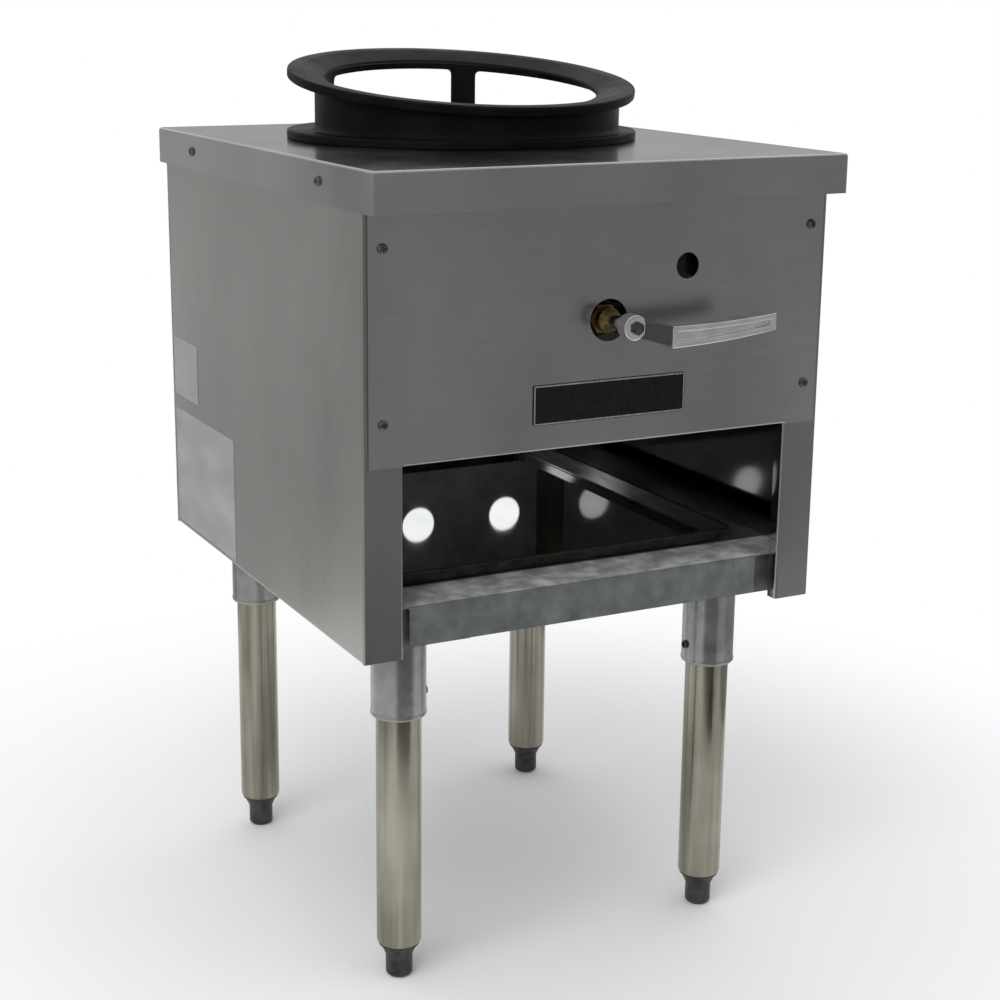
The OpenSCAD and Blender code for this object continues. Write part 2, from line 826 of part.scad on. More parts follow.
// Weld studs under the top plate with their nuts
module chamber_nuts() {
    nut_h = chamber_stud_d;
    nut_share = 1.8;
    nut_z = panel_top_z - chamber_t - nut_h;
    color([0.45, 0.45, 0.46])
        for (i = [0 : chamber_studs - 1])
            rotate_about_burner(i * 360 / chamber_studs) {
                translate([chamber_stud_r, 0, nut_z])
                    cylinder(d = nut_share * chamber_stud_d, h = nut_h, $fn = 6);
                rod_z([chamber_stud_r, 0, nut_z - nut_h / 2], chamber_stud_d, panel_top_z - nut_z + nut_h / 2);
            }
}

// Refractory liner that narrows towards the burner
module chamber_liner() {
    liner_r = chamber_in_d / 2 - fit;
    liner_bottom_z = chamber_bottom_z + chamber_t;
    liner_top_share = 0.86;
    liner_top_z = liner_bottom_z + liner_top_share * chamber_depth;
    color([0.55, 0.47, 0.4])
        translate([0, ring_y, 0])
            rotate_extrude()
                polygon([
                    [chamber_mouth_d / 2, liner_bottom_z],
                    [liner_r, liner_bottom_z],
                    [liner_r, liner_top_z],
                    [liner_r - liner_top_t, liner_top_z]
                ]);
}

// Cast burner head: a round gas box with a foot and a front inlet
module burner_head() {
    foot_share = 0.28;
    edge_share = 0.2;
    boss_share = 0.94;
    edge = edge_share * burner_h;
    burner_r = burner_d / 2;
    bore_l = ring_y - burner_inlet_y;
    color([0.16, 0.16, 0.16])
        difference() {
            union() {
                translate([0, ring_y, burner_bottom_z])
                    rotate_extrude()
                        polygon([
                            [0, 0],
                            [burner_r - edge, 0],
                            [burner_r, edge],
                            [burner_r, burner_h - edge],
                            [burner_r - edge, burner_h],
                            [0, burner_h]
                        ]);
                rod_z([0, ring_y, bar_top_z], foot_share * burner_d, burner_foot_h + edge);
                rod_y([valve_x, burner_inlet_y, burner_pipe_z], boss_share * burner_h, bore_l);
            }
            rod_y([valve_x, burner_inlet_y - cut, burner_pipe_z], port_bore_d, bore_l + cut);
        }
}

// Brass jets in two rings and one in the middle
module burner_tips() {
    hex_share = 0.35;
    nose_share = 0.5;
    bore_share = 0.22;
    places = concat(
        [[0, 0]],
        [for (i = [0 : inner_tips - 1]) inner_tip_r * [cos(i * 360 / inner_tips), sin(i * 360 / inner_tips)]],
        [for (i = [0 : outer_tips - 1]) outer_tip_r * [cos(i * 360 / outer_tips), sin(i * 360 / outer_tips)]]
    );
    color([0.72, 0.56, 0.25])
        for (place = places)
            translate([place[0], ring_y + place[1], burner_deck_z])
                difference() {
                    union() {
                        cylinder(d = tip_d, h = hex_share * tip_h, $fn = 6);
                        cylinder(d1 = tip_d * sqrt(3) / 2, d2 = nose_share * tip_d, h = tip_h);
                    }
                    translate([0, 0, hex_share * tip_h])
                        cylinder(d = bore_share * tip_d, h = tip_h);
                }
}

// Flat bar across the cabinet that carries the burner, with an upright tab at each end
module burner_cross_bar() {
    bar_x = inner_x - fit;
    color([0.3, 0.3, 0.31]) {
        block([-bar_x, ring_y - bar_w / 2, bar_top_z - bar_t], [bar_x, ring_y + bar_w / 2, bar_top_z]);
        for (side = [-1, 1])
            translate([side * (bar_x - bar_t / 2), ring_y, bar_top_z - bar_t + bar_tab_h / 2])
                cube([bar_t, bar_w, bar_tab_h], center = true);
    }
}

// Brass valve body: a bored barrel with an inlet at the side and an outlet below
module valve_body() {
    color([0.62, 0.5, 0.26])
        difference() {
            union() {
                rod_y([valve_x, barrel_front_y, valve_z], valve_d, valve_l);
                rod_x([valve_x, valve_y, valve_z], port_d, port_l);
                rod_z([valve_x, valve_y, valve_z - port_l], port_d, port_l);
            }
            rod_y([valve_x, barrel_front_y - cut, valve_z], plug_d, plug_l + cut + slide_gap);
            rod_x([valve_x, valve_y, valve_z], port_bore_d, port_l + cut);
            rod_z([valve_x, valve_y, valve_z - port_l - cut], port_bore_d, port_l + cut);
        }
}

// Bonnet nut that closes the barrel and guides the stem
module valve_bonnet() {
    nut_l_share = 0.6;
    nut_l = nut_l_share * (barrel_front_y - bonnet_nose_y);
    nose_share = 0.78;
    color([0.45, 0.37, 0.2])
        difference() {
            union() {
                translate([valve_x, barrel_front_y - nut_l, valve_z])
                    rotate([-90, 0, 0])
                        cylinder(d = bonnet_d, h = nut_l, $fn = 6);
                rod_y([valve_x, bonnet_nose_y, valve_z], nose_share * bonnet_d, barrel_front_y - bonnet_nose_y);
            }
            rod_y(
                [valve_x, bonnet_nose_y - cut, valve_z],
                stem_d + 2 * run_fit,
                barrel_front_y - bonnet_nose_y + 2 * cut
            );
        }
}

// Stem with the turning plug; its angled passage lines up with both ports after a quarter turn
module valve_stem() {
    seat_y = barrel_front_y + slide_gap;
    color([0.7, 0.7, 0.7])
        difference() {
            union() {
                rod_y([valve_x, seat_y, valve_z], plug_d - 2 * run_fit, plug_l - slide_gap);
                rod_y([valve_x, hub_face_y, valve_z], stem_d, seat_y - hub_face_y + cut);
            }
            rod_x([valve_x, valve_y, valve_z], port_bore_d, plug_d);
            rod_z([valve_x, valve_y, valve_z], port_bore_d, plug_d);
        }
}

// Upper and lower edges of the grip as a share of its length runs from 0 to 1
function grip_mid(share) = grip_rise * share * share - grip_dip;
function grip_half(share) = (grip_h + (grip_tip_h - grip_h) * share) / 2;

// Outline of the grip, drawn in by a wall
module grip_outline(wall) {
    steps = 12;
    shares = [for (i = [0 : steps]) i / steps];
    upper = [for (s = shares) [grip_start + wall + s * (grip_l - wall), grip_mid(s) + grip_half(s) - wall]];
    lower = [for (s = shares) [grip_start + wall + s * (grip_l - wall), grip_mid(s) - grip_half(s) + wall]];
    last = len(shares) - 1;
    polygon(concat(upper, [for (i = [0 : last]) lower[last - i]]));
}

// Stands an outline in the lever's upright plane and gives it a depth towards the back
module stand_up(y, depth) {
    translate([valve_x, y + depth, valve_z])
        rotate([90, 0, 0])
            linear_extrude(height = depth)
                children();
}

// Lever: a hub on the stem, a cranked neck and a channelled grip open to the front
module lever() {
    neck_t = hub_t / 2;
    neck_root = hub_d / 2 - grip_t;
    grip_face_y = front_y - lever_reach;
    color([0.72, 0.72, 0.72])
        difference() {
            union() {
                rod_y([valve_x, hub_face_y, valve_z], hub_d, hub_t);
                stand_up(hub_face_y, neck_t)
                    polygon([
                        [0, neck_root],
                        [grip_start + grip_t, grip_mid(0) + grip_half(0)],
                        [grip_start + grip_t, grip_mid(0) - grip_half(0)],
                        [0, -neck_root]
                    ]);
                difference() {
                    stand_up(grip_face_y, grip_d + grip_t)
                        grip_outline(0);
                    stand_up(grip_face_y - cut, grip_d + cut)
                        grip_outline(grip_t);
                }
            }
            rod_y([valve_x, hub_face_y - cut, valve_z], stem_d + 2 * fit, hub_t + 2 * cut);
        }
}

// Screw and washer that hold the lever on the stem's end
module lever_screw() {
    washer_share = 0.85;
    washer_t = grip_t / 2;
    color([0.25, 0.25, 0.26]) {
        rod_y([valve_x, hub_face_y - washer_t, valve_z], washer_share * hub_d, washer_t);
        translate([valve_x, hub_face_y - washer_t, valve_z])
            rotate([90, 0, 0])
                cylinder(d = stem_d, h = grip_t, $fn = 6);
    }
}

// A pipe with its bore, from a start point along X, Y or Z
module pipe(start, axis, d, l) {
    bore = d - 2 * pipe_wall;
    difference() {
        if (axis == "x")
            rod_x(start, d, l);
        else if (axis == "y")
            rod_y(start, d, l);
        else
            rod_z(start, d, l);
        if (axis == "x")
            rod_x(start - [cut, 0, 0], bore, l + 2 * cut);
        else if (axis == "y")
            rod_y(start - [0, cut, 0], bore, l + 2 * cut);
        else
            rod_z(start - [0, 0, cut], bore, l + 2 * cut);
    }
}

// Short nipple below the valve
module supply_nipple() {
    top = valve_z - port_l;
    color([0.4, 0.4, 0.4])
        pipe([valve_x, valve_y, burner_pipe_z + elbow_arm], "z", pipe_d, top - burner_pipe_z - elbow_arm);
}

// An elbow with one arm up and one arm to the back
module standing_elbow(centre, back_pipe_d) {
    color([0.3, 0.3, 0.3])
        difference() {
            union() {
                translate(centre)
                    sphere(d = elbow_d);
                rod_z(centre, elbow_d, elbow_arm);
                rod_y(centre, elbow_d, elbow_arm);
            }
            rod_z(centre, pipe_d - 2 * pipe_wall, elbow_arm + cut);
            rod_y(centre, back_pipe_d - 2 * pipe_wall, elbow_arm + cut);
        }
}

// Elbow that turns the supply towards the burner
module supply_elbow() {
    standing_elbow([valve_x, valve_y, burner_pipe_z], pipe_d);
}

// Pipe from the elbow to the burner head
module burner_pipe() {
    start_y = valve_y + elbow_arm;
    color([0.4, 0.4, 0.4])
        pipe([valve_x, start_y, burner_pipe_z], "y", pipe_d, burner_inlet_y - start_y);
}

// Pipe that feeds the valve, along the front
module manifold_pipe() {
    start_x = valve_x + port_l;
    color([0.4, 0.4, 0.4])
        pipe([start_x, valve_y, valve_z], "x", pipe_d, inlet_x - elbow_arm - start_x);
}

// Elbow that turns the line down at the end of the manifold
module manifold_elbow() {
    bore = pipe_d - 2 * pipe_wall;
    centre = [inlet_x, valve_y, valve_z];
    color([0.3, 0.3, 0.3])
        difference() {
            union() {
                translate(centre)
                    sphere(d = elbow_d);
                rod_x(centre - [elbow_arm, 0, 0], elbow_d, elbow_arm);
                rod_z(centre - [0, 0, elbow_arm], elbow_d, elbow_arm);
            }
            rod_x(centre - [elbow_arm + cut, 0, 0], bore, elbow_arm + cut);
            rod_z(centre - [0, 0, elbow_arm + cut], bore, elbow_arm + cut);
        }
}

// Short pipe that takes the line down below the chamber
module inlet_drop_pipe() {
    start_z = inlet_z + elbow_arm;
    color([0.4, 0.4, 0.4])
        pipe([inlet_x, valve_y, start_z], "z", pipe_d, valve_z - elbow_arm - start_z);
}

// Reducing elbow that turns the line back to the inlet pipe
module inlet_elbow() {
    standing_elbow([inlet_x, valve_y, inlet_z], inlet_d);
}

// Inlet pipe along the right side, out through the back panel to its threaded end
module inlet_pipe() {
    start_y = valve_y + elbow_arm;
    thread_y = inlet_end_y - inlet_thread_l;
    bore = inlet_d - 2 * pipe_wall;
    color([0.42, 0.42, 0.42])
        difference() {
            union() {
                rod_y([inlet_x, start_y, inlet_z], inlet_d, thread_y - start_y);
                rod_y([inlet_x, thread_y, inlet_z], inlet_thread_d, inlet_thread_l);
            }
            rod_y([inlet_x, start_y - cut, inlet_z], bore, inlet_end_y - start_y + 2 * cut);
        }
}

// Locknut that holds the inlet pipe to the back panel
module inlet_locknut() {
    nut_share = 1.6;
    nut_l = clip_w / 2;
    color([0.45, 0.45, 0.45])
        difference() {
            translate([inlet_x, back_y + sheet_t, inlet_z])
                rotate([-90, 0, 0])
                    cylinder(d = nut_share * inlet_d, h = nut_l, $fn = 6);
            rod_y([inlet_x, back_y - cut, inlet_z], inlet_d + 2 * fit, nut_l + sheet_t + 2 * cut);
        }
}

// Clips that hold the inlet pipe to the right side panel
module pipe_clips() {
    clip_bore = inlet_d + 2 * fit;
    color([0.5, 0.5, 0.5])
        for (y = clip_ys)
            difference() {
                union() {
                    rod_y([inlet_x, y, inlet_z], clip_bore + 2 * clip_t, clip_w);
                    block(
                        [inlet_x, y, inlet_z - clip_t],
                        [inner_x - fit, y + clip_w, inlet_z + clip_t]
                    );
                }
                rod_y([inlet_x, y - cut, inlet_z], clip_bore, clip_w + 2 * cut);
            }
}

// Pilot valve on a saddle over the manifold, facing the pilot hole
module pilot_valve() {
    screw_bore_share = 0.6;
    leg_share = 0.85;
    color([0.62, 0.5, 0.26])
        difference() {
            union() {
                rod_y([pilot_x, pilot_front_y, pilot_z], pilot_d, pilot_l);
                rod_z([pilot_x, valve_y, valve_z], leg_share * pilot_d, pilot_z - valve_z);
            }
            rod_x([pilot_x - pilot_d, valve_y, valve_z], pipe_d + 2 * fit, 2 * pilot_d);
            rod_y([pilot_x, pilot_front_y - cut, pilot_z], pilot_screw_d, screw_bore_share * pilot_l + cut);
        }
}

// Slotted adjusting screw of the pilot
module pilot_screw() {
    screw_l_share = 0.5;
    head_share = 0.12;
    slot_share = 0.2;
    head = head_share * pilot_l;
    slot = slot_share * pilot_screw_d;
    color([0.7, 0.6, 0.3])
        difference() {
            rod_y(
                [pilot_x, pilot_front_y - head, pilot_z],
                pilot_screw_d - 2 * run_fit,
                screw_l_share * pilot_l + head
            );
            block(
                [pilot_x - pilot_screw_d, pilot_front_y - head - cut, pilot_z - slot / 2],
                [pilot_x + pilot_screw_d, pilot_front_y - head + slot, pilot_z + slot / 2]
            );
        }
}

// A quarter bend of the pilot tube in the upright plane, turned by an angle
module pilot_bend(centre, angle) {
    translate(centre)
        rotate([0, 90, 0])
            rotate([0, 0, angle])
                rotate_extrude(angle = 90)
                    translate([pilot_bend_r, 0])
                        circle(d = pilot_tube_d);
}

// Pilot tube: back from the pilot valve, down and on to the pilot burner
module pilot_tube() {
    high_bend_y = pilot_drop_y - pilot_bend_r;
    low_bend_y = pilot_drop_y + pilot_bend_r;
    drop_top_z = pilot_z - pilot_bend_r;
    drop_low_z = pilot_tube_z + pilot_bend_r;
    end_y = pilot_burner_y - pilot_burner_d / 2 - fit;
    color([0.75, 0.75, 0.76]) {
        rod_y([pilot_x, pilot_back_y, pilot_z], pilot_tube_d, high_bend_y - pilot_back_y);
        pilot_bend([pilot_x, high_bend_y, drop_top_z], 90);
        rod_z([pilot_x, pilot_drop_y, drop_low_z], pilot_tube_d, drop_top_z - drop_low_z);
        pilot_bend([pilot_x, low_bend_y, drop_low_z], -90);
        rod_y([pilot_x, low_bend_y, pilot_tube_z], pilot_tube_d, end_y - low_bend_y);
    }
}

// Pilot burner on a bracket that stands on the cross bar
module pilot_burner() {
    bracket_w_share = 1.4;
    bracket_w = bracket_w_share * pilot_burner_d;
    nose_share = 0.6;
    nose_h = pilot_burner_d;
    bracket_top_z = bar_top_z + clip_t;
    color([0.55, 0.5, 0.4]) {
        block(
            [pilot_x - bracket_w / 2, pilot_burner_y - bracket_w / 2, bar_top_z],
            [pilot_x + bracket_w / 2, ring_y + bar_w / 2, bracket_top_z]
        );
        rod_z([pilot_x, pilot_burner_y, bar_top_z], pilot_burner_d, tip_top_z - nose_h - bar_top_z);
        translate([pilot_x, pilot_burner_y, tip_top_z - nose_h])
            cylinder(d1 = pilot_burner_d, d2 = nose_share * pilot_burner_d, h = nose_h);
    }
}

// Bare black name plate stuck on the front panel
module name_plate() {
    plate_z = opening_top_z + name_plate_lift;
    color([0.05, 0.05, 0.05])
        block(
            [name_plate_x - name_plate_w / 2, panel_face_y - name_plate_t, plate_z],
            [name_plate_x + name_plate_w / 2, panel_face_y, plate_z + name_plate_h]
        );
}

// Blank pale stickers at the back of the left side
module side_stickers() {
    sticker_back_y = back_y - sticker_margin;
    low_z = body_lift + sticker_lift;
    high_z = low_z + sticker_h + sticker_gap;
    color([0.62, 0.62, 0.63]) {
        block([-side_x - sticker_t, sticker_back_y - sticker_w, low_z], [-side_x, sticker_back_y, low_z + sticker_h]);
        block(
            [-side_x - sticker_t, sticker_back_y - small_sticker_w, high_z],
            [-side_x, sticker_back_y, high_z + small_sticker_h]
        );
    }
}

// Screws of the front panel
module front_panel_screws() {
    color([0.5, 0.5, 0.5])
        for (x = [-panel_screw_x, panel_screw_x], z = panel_screw_zs)
            translate([x, panel_face_y, z])
                rotate([90, 0, 0])
                    pan_screw();
}

// Screws on both sides of the top plate
module top_plate_screws() {
    color([0.5, 0.5, 0.5])
        for (side = [-1, 1], y = side_screw_ys)
            translate([side * (side_x + sheet_t), y, side_screw_z])
                rotate([0, side * 90, 0])
                    pan_screw();
}

// Screws of the back panel
module back_panel_screws() {
    color([0.5, 0.5, 0.5])
        for (x = [-back_screw_x, back_screw_x], z = back_screw_zs)
            translate([x, back_y + sheet_t, z])
                rotate([-90, 0, 0])
                    pan_screw();
}

top_plate();
left_side_panel();
right_side_panel();
front_panel();
back_panel();
base_shelf();
left_base_channel();
right_base_channel();
drip_tray();
front_left_socket();
front_right_socket();
rear_left_socket();
rear_right_socket();
front_left_leg();
front_right_leg();
rear_left_leg();
rear_right_leg();
front_left_foot();
front_right_foot();
rear_left_foot();
rear_right_foot();
leg_plugs();
socket_set_screws();
wok_ring();
combustion_chamber();
chamber_nuts();
chamber_liner();
burner_head();
burner_tips();
burner_cross_bar();
valve_body();
valve_bonnet();
valve_stem();
lever();
lever_screw();
supply_nipple();
supply_elbow();
burner_pipe();
manifold_pipe();
manifold_elbow();
inlet_drop_pipe();
inlet_elbow();
inlet_pipe();
inlet_locknut();
pipe_clips();
pilot_valve();
pilot_screw();
pilot_tube();
pilot_burner();
name_plate();
side_stickers();
front_panel_screws();
top_plate_screws();
back_panel_screws();
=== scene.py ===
import math

import bmesh
import bpy
from mathutils import Matrix, Vector


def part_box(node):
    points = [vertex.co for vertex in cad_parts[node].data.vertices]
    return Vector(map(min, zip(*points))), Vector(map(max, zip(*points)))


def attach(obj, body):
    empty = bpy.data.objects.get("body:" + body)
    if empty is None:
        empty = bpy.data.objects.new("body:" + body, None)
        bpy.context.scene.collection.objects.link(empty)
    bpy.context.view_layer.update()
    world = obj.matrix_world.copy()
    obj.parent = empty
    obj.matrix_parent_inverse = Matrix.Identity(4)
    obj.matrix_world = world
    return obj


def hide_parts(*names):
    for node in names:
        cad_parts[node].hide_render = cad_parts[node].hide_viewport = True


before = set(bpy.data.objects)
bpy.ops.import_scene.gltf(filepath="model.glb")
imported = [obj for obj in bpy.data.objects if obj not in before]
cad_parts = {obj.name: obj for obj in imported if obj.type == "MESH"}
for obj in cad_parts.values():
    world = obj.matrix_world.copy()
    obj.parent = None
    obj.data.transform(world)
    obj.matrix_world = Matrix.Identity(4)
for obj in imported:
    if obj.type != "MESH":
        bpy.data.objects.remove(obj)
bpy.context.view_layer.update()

# Side panels: stainless sheet folded on a press brake, with a wide flange and a return lip beside the
# opening, a narrow flange at the back and one along the top and the bottom. Screws hold them to the rest.
mm = 0.001
sheet_t = 1.5 * mm
bend_r = 2.5 * mm
return_lip = 12 * mm
narrow_flange = 20 * mm
hair_depth = 0.0015 * mm
touch = 0.1 * mm
square_on = 0.9


def begin_finish(name, **even):
    """Starts a material and sets the shader sockets that are the same all over the surface."""
    finish = bpy.data.materials.new(name)
    finish.use_nodes = True
    shader = finish.node_tree.nodes["Principled BSDF"]
    for socket, value in even.items():
        shader.inputs[socket.replace("_", " ")].default_value = value
    return finish


def grain(finish, per_metre, detail=3.0, kind="ShaderNodeTexNoise", output=0):
    """A pattern on the piece's own coordinates, with so many grains a metre along x, y and z."""
    tree = finish.node_tree
    place = tree.nodes.new("ShaderNodeTexCoord")
    stretch = tree.nodes.new("ShaderNodeMapping")
    pattern = tree.nodes.new(kind)
    stretch.inputs["Scale"].default_value = per_metre
    pattern.inputs["Scale"].default_value = 1.0
    pattern.inputs["Detail"].default_value = detail
    tree.links.new(place.outputs["Object"], stretch.inputs["Vector"])
    tree.links.new(stretch.outputs["Vector"], pattern.inputs["Vector"])
    return pattern.outputs[output]


def blend(finish, first, second, share):
    """Two patterns laid over each other."""
    tree = finish.node_tree
    mix = tree.nodes.new("ShaderNodeMix")
    mix.inputs["Factor"].default_value = share
    tree.links.new(first, mix.inputs["A"])
    tree.links.new(second, mix.inputs["B"])
    return mix.outputs["Result"]


def tint(finish, pattern, dark, light, spread=(0.35, 0.65)):
    """Runs the colour from dark to light with a pattern."""
    tree = finish.node_tree
    ramp = tree.nodes.new("ShaderNodeValToRGB")
    for stop, at, colour in zip(ramp.color_ramp.elements, spread, (dark, light)):
        stop.position = at
        stop.color = (*colour, 1)
    tree.links.new(pattern, ramp.inputs["Fac"])
    tree.links.new(ramp.outputs["Color"], tree.nodes["Principled BSDF"].inputs["Base Color"])


def polish(finish, pattern, smooth, rough, spread=(0.3, 0.7)):
    """Runs the roughness from smooth to rough with a pattern."""
    tree = finish.node_tree
    run = tree.nodes.new("ShaderNodeMapRange")
    for socket, value in zip(("From Min", "From Max", "To Min", "To Max"), (*spread, smooth, rough)):
        run.inputs[socket].default_value = value
    tree.links.new(pattern, run.inputs["Value"])
    tree.links.new(run.outputs["Result"], tree.nodes["Principled BSDF"].inputs["Roughness"])


def emboss(finish, pattern, depth):
    """Raises the surface by a pattern of that depth."""
    tree = finish.node_tree
    relief = tree.nodes.new("ShaderNodeBump")
    relief.inputs["Distance"].default_value = depth
    tree.links.new(pattern, relief.inputs["Height"])
    tree.links.new(relief.outputs["Normal"], tree.nodes["Principled BSDF"].inputs["Normal"])


def mottled(name, per_metre, detail, dark, light, smooth, rough, depth=0.0, **even):
    """A finish whose colour, gloss and any relief all follow one pattern."""
    finish = begin_finish(name, **even)
    pattern = grain(finish, per_metre, detail)
    tint(finish, pattern, dark, light)
    polish(finish, pattern, smooth, rough)
    if depth:
        emboss(finish, pattern, depth)
    return finish


def brushed_stainless(name, hair, dark, light, smooth, rough):
    """Brushed sheet: hairlines along one axis over soft clouds of handling marks."""
    finish = begin_finish(name, Metallic=1.0)
    hairs = grain(finish, hair, 2.0)
    clouds = grain(finish, (7, 7, 4), 3.0)
    worn = blend(finish, clouds, hairs, 0.3)
    tint(finish, worn, dark, light)
    polish(finish, worn, smooth, rough)
    emboss(finish, hairs, hair_depth)
    return finish


def round_edges(shape, edges, radius, steps=4):
    """Rounds the given edges to a radius."""
    bmesh.ops.bevel(shape, geom=edges, offset=radius, offset_type="OFFSET", affect="EDGES",
                    segments=steps, profile=0.5, material=-1)


def agree_sides(shape):
    """Makes all faces of a shape agree on which side is out."""
    bmesh.ops.recalc_face_normals(shape, faces=shape.faces[:])


def thicken(shape, inside, thickness):
    """Gives an open sheet its thickness, towards a point inside."""
    agree_sides(shape)
    lean = sum((f.calc_center_median() - inside).dot(f.normal) * f.calc_area() for f in shape.faces)
    if lean < 0:
        bmesh.ops.reverse_faces(shape, faces=shape.faces[:])
    bmesh.ops.solidify(shape, geom=shape.faces[:], thickness=thickness)
    shape.normal_update()


def as_object(shape, name, *finishes):
    """Makes a shape a named object with its finishes."""
    mesh = bpy.data.meshes.new(name)
    shape.to_mesh(mesh)
    shape.free()
    for finish in finishes:
        mesh.materials.append(finish)
    thing = bpy.data.objects.new(name, mesh)
    bpy.context.scene.collection.objects.link(thing)
    return thing


def as_piece(shape, name, body, finishes, nodes, smooth=32):
    """Makes a shape a named piece on a body, in the place of the CAD nodes it stands for."""
    piece = as_object(shape, name, *finishes)
    piece.data.polygons.foreach_set("use_smooth", [True] * len(piece.data.polygons))
    piece.data.set_sharp_from_angle(angle=math.radians(smooth))
    piece.modifiers.new("flat_faces", "WEIGHTED_NORMAL").keep_sharp = True
    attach(piece, body)
    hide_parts(*nodes)
    return piece


def new_points(made):
    """The vertices among what an operator made."""
    return [g for g in made["geom"] if isinstance(g, bmesh.types.BMVert)]


def push(shape, made, way):
    """Moves what an extrusion made along a way."""
    bmesh.ops.translate(shape, verts=new_points(made), vec=way)


def upright_sheet(shape, plan, low_z, high_z):
    """Stands a strip of sheet on a plan of corners and rounds its upright bends."""
    feet = [shape.verts.new((x, y, low_z)) for x, y in plan]
    edges = [shape.edges.new(pair) for pair in zip(feet, feet[1:])]
    heads = new_points(bmesh.ops.extrude_edge_only(shape, edges=edges))
    bmesh.ops.translate(shape, verts=heads, vec=(0, 0, high_z - low_z))
    bends = [e for v in feet[1:-1] for e in v.link_edges if e.other_vert(v) in heads]
    round_edges(shape, bends, bend_r)


def fold_over(shape, edges, way):
    """Folds a flange out from some free edges and rounds the bend."""
    push(shape, bmesh.ops.extrude_edge_only(shape, edges=edges), way)
    round_edges(shape, edges, bend_r)


side_hair = (1500, 1500, 8)
side_steel = brushed_stainless("side_stainless", side_hair, (0.37, 0.362, 0.343), (0.46, 0.45, 0.43),
                               0.22, 0.34)
# A darker copy of the side stainless for the faces that face the front beside the opening: painted shade.
shaded_strip_steel = brushed_stainless("shaded_strip_stainless", side_hair, (0.27, 0.265, 0.254), (0.33, 0.325, 0.312),
                                0.22, 0.34)
mill_steel = mottled("mill_stainless", (9, 5, 9), 4.0, (0.46, 0.46, 0.455), (0.58, 0.58, 0.575),
                     0.05, 0.1, Metallic=1.0)
for side, node in ((-1, "left_side_panel"), (1, "right_side_panel")):
    low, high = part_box(node)
    out_x = side * max(abs(low.x), abs(high.x))
    open_x = side * min(abs(low.x), abs(high.x))
    in_x = out_x - side * narrow_flange
    panel = bmesh.new()
    upright_sheet(panel, (
        (open_x, low.y + return_lip),
        (open_x, low.y),
        (out_x, low.y),
        (out_x, high.y),
        (in_x, high.y),
    ), low.z, high.z)
    for z in (low.z, high.z):
        level = [e for e in panel.edges if max(abs(v.co.z - z) for v in e.verts) < touch]
        fold_over(panel, [max(level, key=lambda e: e.calc_length())], (in_x - out_x, 0, 0))
    thicken(panel, Vector((in_x, (low.y + high.y) / 2, (low.z + high.z) / 2)), sheet_t)
    for face in panel.faces:
        if face.normal.x * side < -square_on:
            face.material_index = 1
        # Faces that face the front take the darker copy, painted shade.
        elif face.normal.y < -square_on:
            face.material_index = 2
    as_piece(panel, node + "_sheet", "cabinet", [side_steel, mill_steel, shaded_strip_steel], [node])


# Back panel: one flat galvanised sheet screwed over the rear flanges, punched with a row of vents and
# a hole for the gas inlet. The zinc shows a frosty spangle of large crystals.
vent_r = 20 * mm
vent_pitch = 111 * mm
vent_rise = 122 * mm
inlet_fit = 0.2 * mm
round_steps = 56


def galvanised_zinc(name, dark, light, metal=0.6, spread=(0.3, 0.7), gloss=(0.36, 0.55)):
    """Hot-dip zinc: flat crystals that differ a little in tone and gloss."""
    finish = begin_finish(name, Metallic=metal)
    crystals = grain(finish, (110, 110, 110), 0.0, "ShaderNodeTexVoronoi", "Color")
    bloom = grain(finish, (45, 45, 45), 5.0)
    frost = blend(finish, bloom, crystals, 0.13)
    tint(finish, frost, dark, light, spread)
    polish(finish, frost, *gloss)
    emboss(finish, bloom, 0.03 * mm)
    return finish


def punched_sheet(shape, outline, holes):
    """Fills a flat outline round its punched holes, each a centre and a radius."""
    edges = list(outline)
    for centre, radius in holes:
        place = Matrix.Translation(centre)
        hole = bmesh.ops.create_circle(shape, segments=round_steps, radius=radius, matrix=place)
        edges += {e for v in hole["verts"] for e in v.link_edges}
    bmesh.ops.triangle_fill(shape, use_beauty=True, edges=edges, normal=(0, 0, 1))


def closed_line(shape, points):
    """Joins points into a closed line and returns its edges."""
    verts = [shape.verts.new(point) for point in points]
    return [shape.edges.new(pair) for pair in zip(verts, verts[1:] + verts[:1])]


def rectangle(shape, low_x, low_y, high_x, high_y):
    """The four edges of a rectangle on the drawing plane."""
    corners = ((low_x, low_y, 0), (high_x, low_y, 0), (high_x, high_y, 0), (low_x, high_y, 0))
    return closed_line(shape, corners)


def stand_up(shape, y):
    """Turns a sheet drawn flat on x and height upright, facing the front at a depth y."""
    upright = Matrix.Translation((0, y, 0)) @ Matrix.Rotation(math.pi / 2, 4, "X")
    bmesh.ops.transform(shape, matrix=upright, verts=shape.verts[:])


back_zinc = galvanised_zinc("back_zinc", (0.34, 0.36, 0.375), (0.5, 0.52, 0.535))
low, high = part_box("back_panel")
inlet_low, inlet_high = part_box("inlet_pipe")
inlet_x = (inlet_low.x + inlet_high.x) / 2
inlet_z = (inlet_low.z + inlet_high.z) / 2
inlet_r = (inlet_high.x - inlet_low.x) / 2
holes = [((n * vent_pitch / 2, low.z + vent_rise, 0), vent_r) for n in (-3, -1, 1, 3)]
holes.append(((inlet_x, inlet_z, 0), inlet_r + inlet_fit))
panel = bmesh.new()
punched_sheet(panel, rectangle(panel, low.x, low.z, high.x, high.z), holes)
thicken(panel, Vector((0, (low.z + high.z) / 2, -1)), high.y - low.y)
stand_up(panel, low.y)
as_piece(panel, "back_sheet", "cabinet", [back_zinc], ["back_panel"])


# Base channels: heavier galvanised sheet welded into closed-ended channels that carry the legs.
# They rest on the bottom flanges of the side panels, under the shelf.
channel_zinc = galvanised_zinc("channel_zinc", (0.1, 0.108, 0.11), (0.18, 0.19, 0.193))


